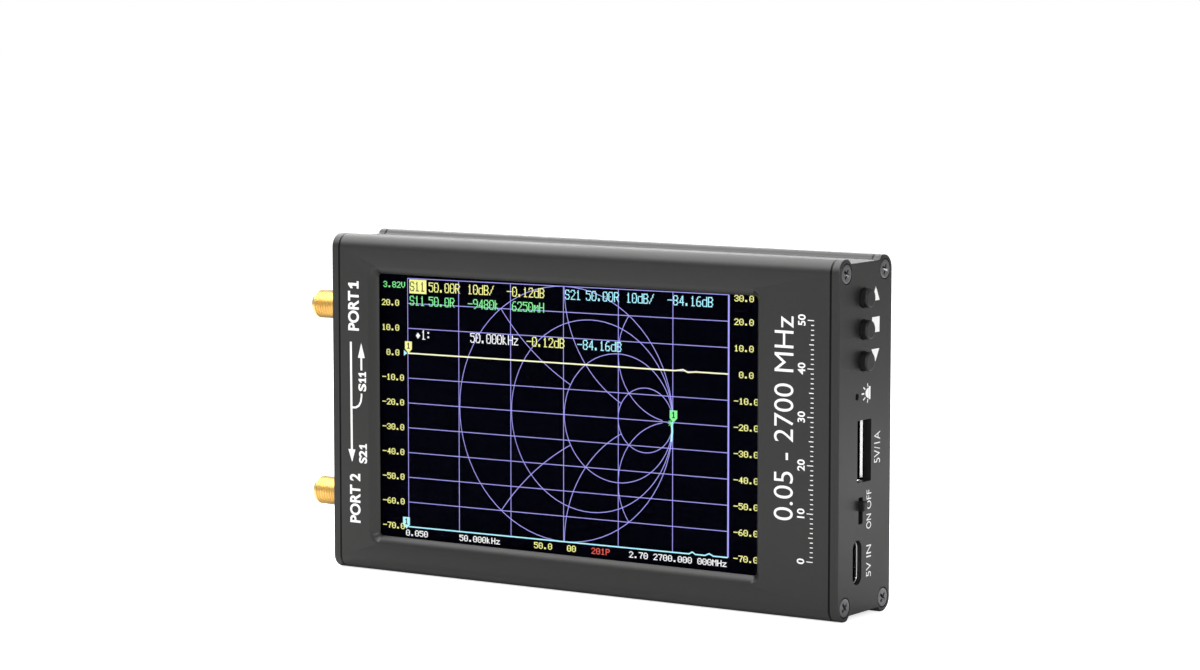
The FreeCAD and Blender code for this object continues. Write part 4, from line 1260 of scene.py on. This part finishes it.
@dataclass
class Studio:
    """Pale floor, white surroundings, soft lamps and the camera."""

    centre: tuple[float, float, float] = (0.0, 0.0, 37.5)
    yaw: float = 33.543
    pitch: float = 5.925
    distance: float = 801.1
    aim_right: float = -0.577
    aim_up: float = 17.53
    lens: float = 111.108
    sensor: float = 36.0
    studio_level: float = 0.5
    floor_lift: float = 0.72
    floor_reach: float = 3000.0

    def build(self) -> None:
        """Builds floor, world, lamps and camera."""
        self.add_world()
        self.add_floor()
        self.add_lamp("lamp_above", (-260, -60, 560), (0, 0, 60), (900, 600), 8.5)
        self.add_lamp("lamp_behind_left", (-330, 430, 330), (0, 0, 75), (600, 160), 1.6)
        self.add_lamp("lamp_front_right", (520, -300, 260), (30, 0, 40), (180, 180), 1.6)
        self.add_lamp("lamp_behind_right", (150, 120, 10), (65, 0, 10), (70, 16), 0.006)
        self.add_camera()

    def seen(self, tree: bpy.types.NodeTree) -> bpy.types.NodeSocket:
        """Builds the test for rays that come straight from the camera or through glass.

        Args:
            tree: the node tree that asks.

        Returns:
            A socket that is 1 for those rays and 0 for the rest.
        """
        path = add_node(tree, "ShaderNodeLightPath").outputs
        return add_node(tree, "ShaderNodeMath", {
            0: path["Is Camera Ray"], 1: path["Is Transmission Ray"],
        }, operation="MAXIMUM").outputs[0]

    def add_world(self) -> None:
        """Adds a world that is white to look at and lights the object at a plain level."""
        world = bpy.data.worlds.new("studio_world")
        bpy.context.scene.world = world
        world.use_nodes = True
        tree = world.node_tree
        strength = add_node(tree, "ShaderNodeMapRange", {
            "Value": self.seen(tree), "To Min": self.studio_level, "To Max": 1.0})
        background = tree.nodes["Background"]
        background.inputs["Color"].default_value = WHITE
        tree.links.new(strength.outputs[0], background.inputs["Strength"])

    def add_floor(self) -> None:
        """Adds a pale matt floor that looks white and keeps the object's shadow."""
        mesh = bpy.data.meshes.new("floor")
        reach = self.floor_reach * MM
        corners = ((-1, -1), (1, -1), (1, 1), (-1, 1))
        mesh.from_pydata([(x * reach, y * reach, 0) for x, y in corners], [], [(0, 1, 2, 3)])
        floor = bpy.data.objects.new("floor", mesh)
        bpy.context.scene.collection.objects.link(floor)
        material = bpy.data.materials.new("matt_white_paper")
        material.use_nodes = True
        tree = material.node_tree
        shader = tree.nodes["Principled BSDF"]
        shader.inputs["Base Color"].default_value = linear("#DADADA")
        shader.inputs["Roughness"].default_value = 0.9
        shader.inputs["Specular IOR Level"].default_value = 0.1
        shader.inputs["Emission Color"].default_value = WHITE
        lift = add_node(tree, "ShaderNodeMath", {
            0: self.seen(tree), 1: self.floor_lift,
        }, operation="MULTIPLY")
        tree.links.new(lift.outputs[0], shader.inputs["Emission Strength"])
        mesh.materials.append(material)

    def add_lamp(
        self, name: str, spot: Sequence[float], target: Sequence[float], size: Point2,
        power: float,
    ) -> None:
        """Adds one soft lamp.

        Args:
            name: what it is called.
            spot: where it stands, in case millimetres.
            target: what it points at.
            size: its width and height.
            power: its power, in watts.
        """
        data = bpy.data.lights.new(name, "AREA")
        data.shape = "RECTANGLE"
        data.size, data.size_y = size[0] * MM, size[1] * MM
        data.energy = power
        lamp = bpy.data.objects.new(name, data)
        lamp.location = place(*spot)
        lamp.rotation_euler = (place(*target) - place(*spot)).to_track_quat("-Z", "Y").to_euler()
        bpy.context.scene.collection.objects.link(lamp)

    def add_camera(self) -> None:
        """Adds the camera at the photograph's viewing angle."""
        yaw, pitch = math.radians(self.yaw), math.radians(self.pitch)
        level = math.cos(pitch)
        forward = Vector((-math.sin(yaw) * level, math.cos(yaw) * level, -math.sin(pitch)))
        right = Vector((math.cos(yaw), math.sin(yaw), 0.0))
        up = right.cross(forward)
        data = bpy.data.cameras.new("camera")
        data.lens = self.lens
        data.sensor_width = self.sensor
        data.clip_start = 0.01
        camera = bpy.data.objects.new("camera", data)
        offset = right * self.aim_right + up * self.aim_up - forward * self.distance
        spot = place(*self.centre) + offset * MM
        facing = Matrix((right, up, -forward)).transposed().to_4x4()
        camera.matrix_world = Matrix.Translation(spot) @ facing
        bpy.context.scene.collection.objects.link(camera)
        bpy.context.scene.camera = camera
        bpy.context.scene.view_settings.view_transform = "Standard"


def main() -> None:
    """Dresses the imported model, one sub-assembly after another."""
    logging.basicConfig(level=logging.INFO, format="%(message)s")
    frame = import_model()
    nodes = frame["nodes"]
    Studio().build()
    Case().build(nodes)
    Display().build(nodes)
    CoaxialPort(1, 58.1).build(nodes)
    CoaxialPort(2, 15.6).build(nodes)
    PlateScrews("port_plate_cross_screws", -65.0, -1).build("port_plate_screws")
    PlateScrews("control_plate_cross_screws", 65.0, 1).build("control_plate_screws")
    Controls().build(nodes)
    Sockets().build(nodes)
    Inside().build(nodes)
    FrontPrint().build()
    EndPrint().build()


if __name__ == "__main__":
    main()
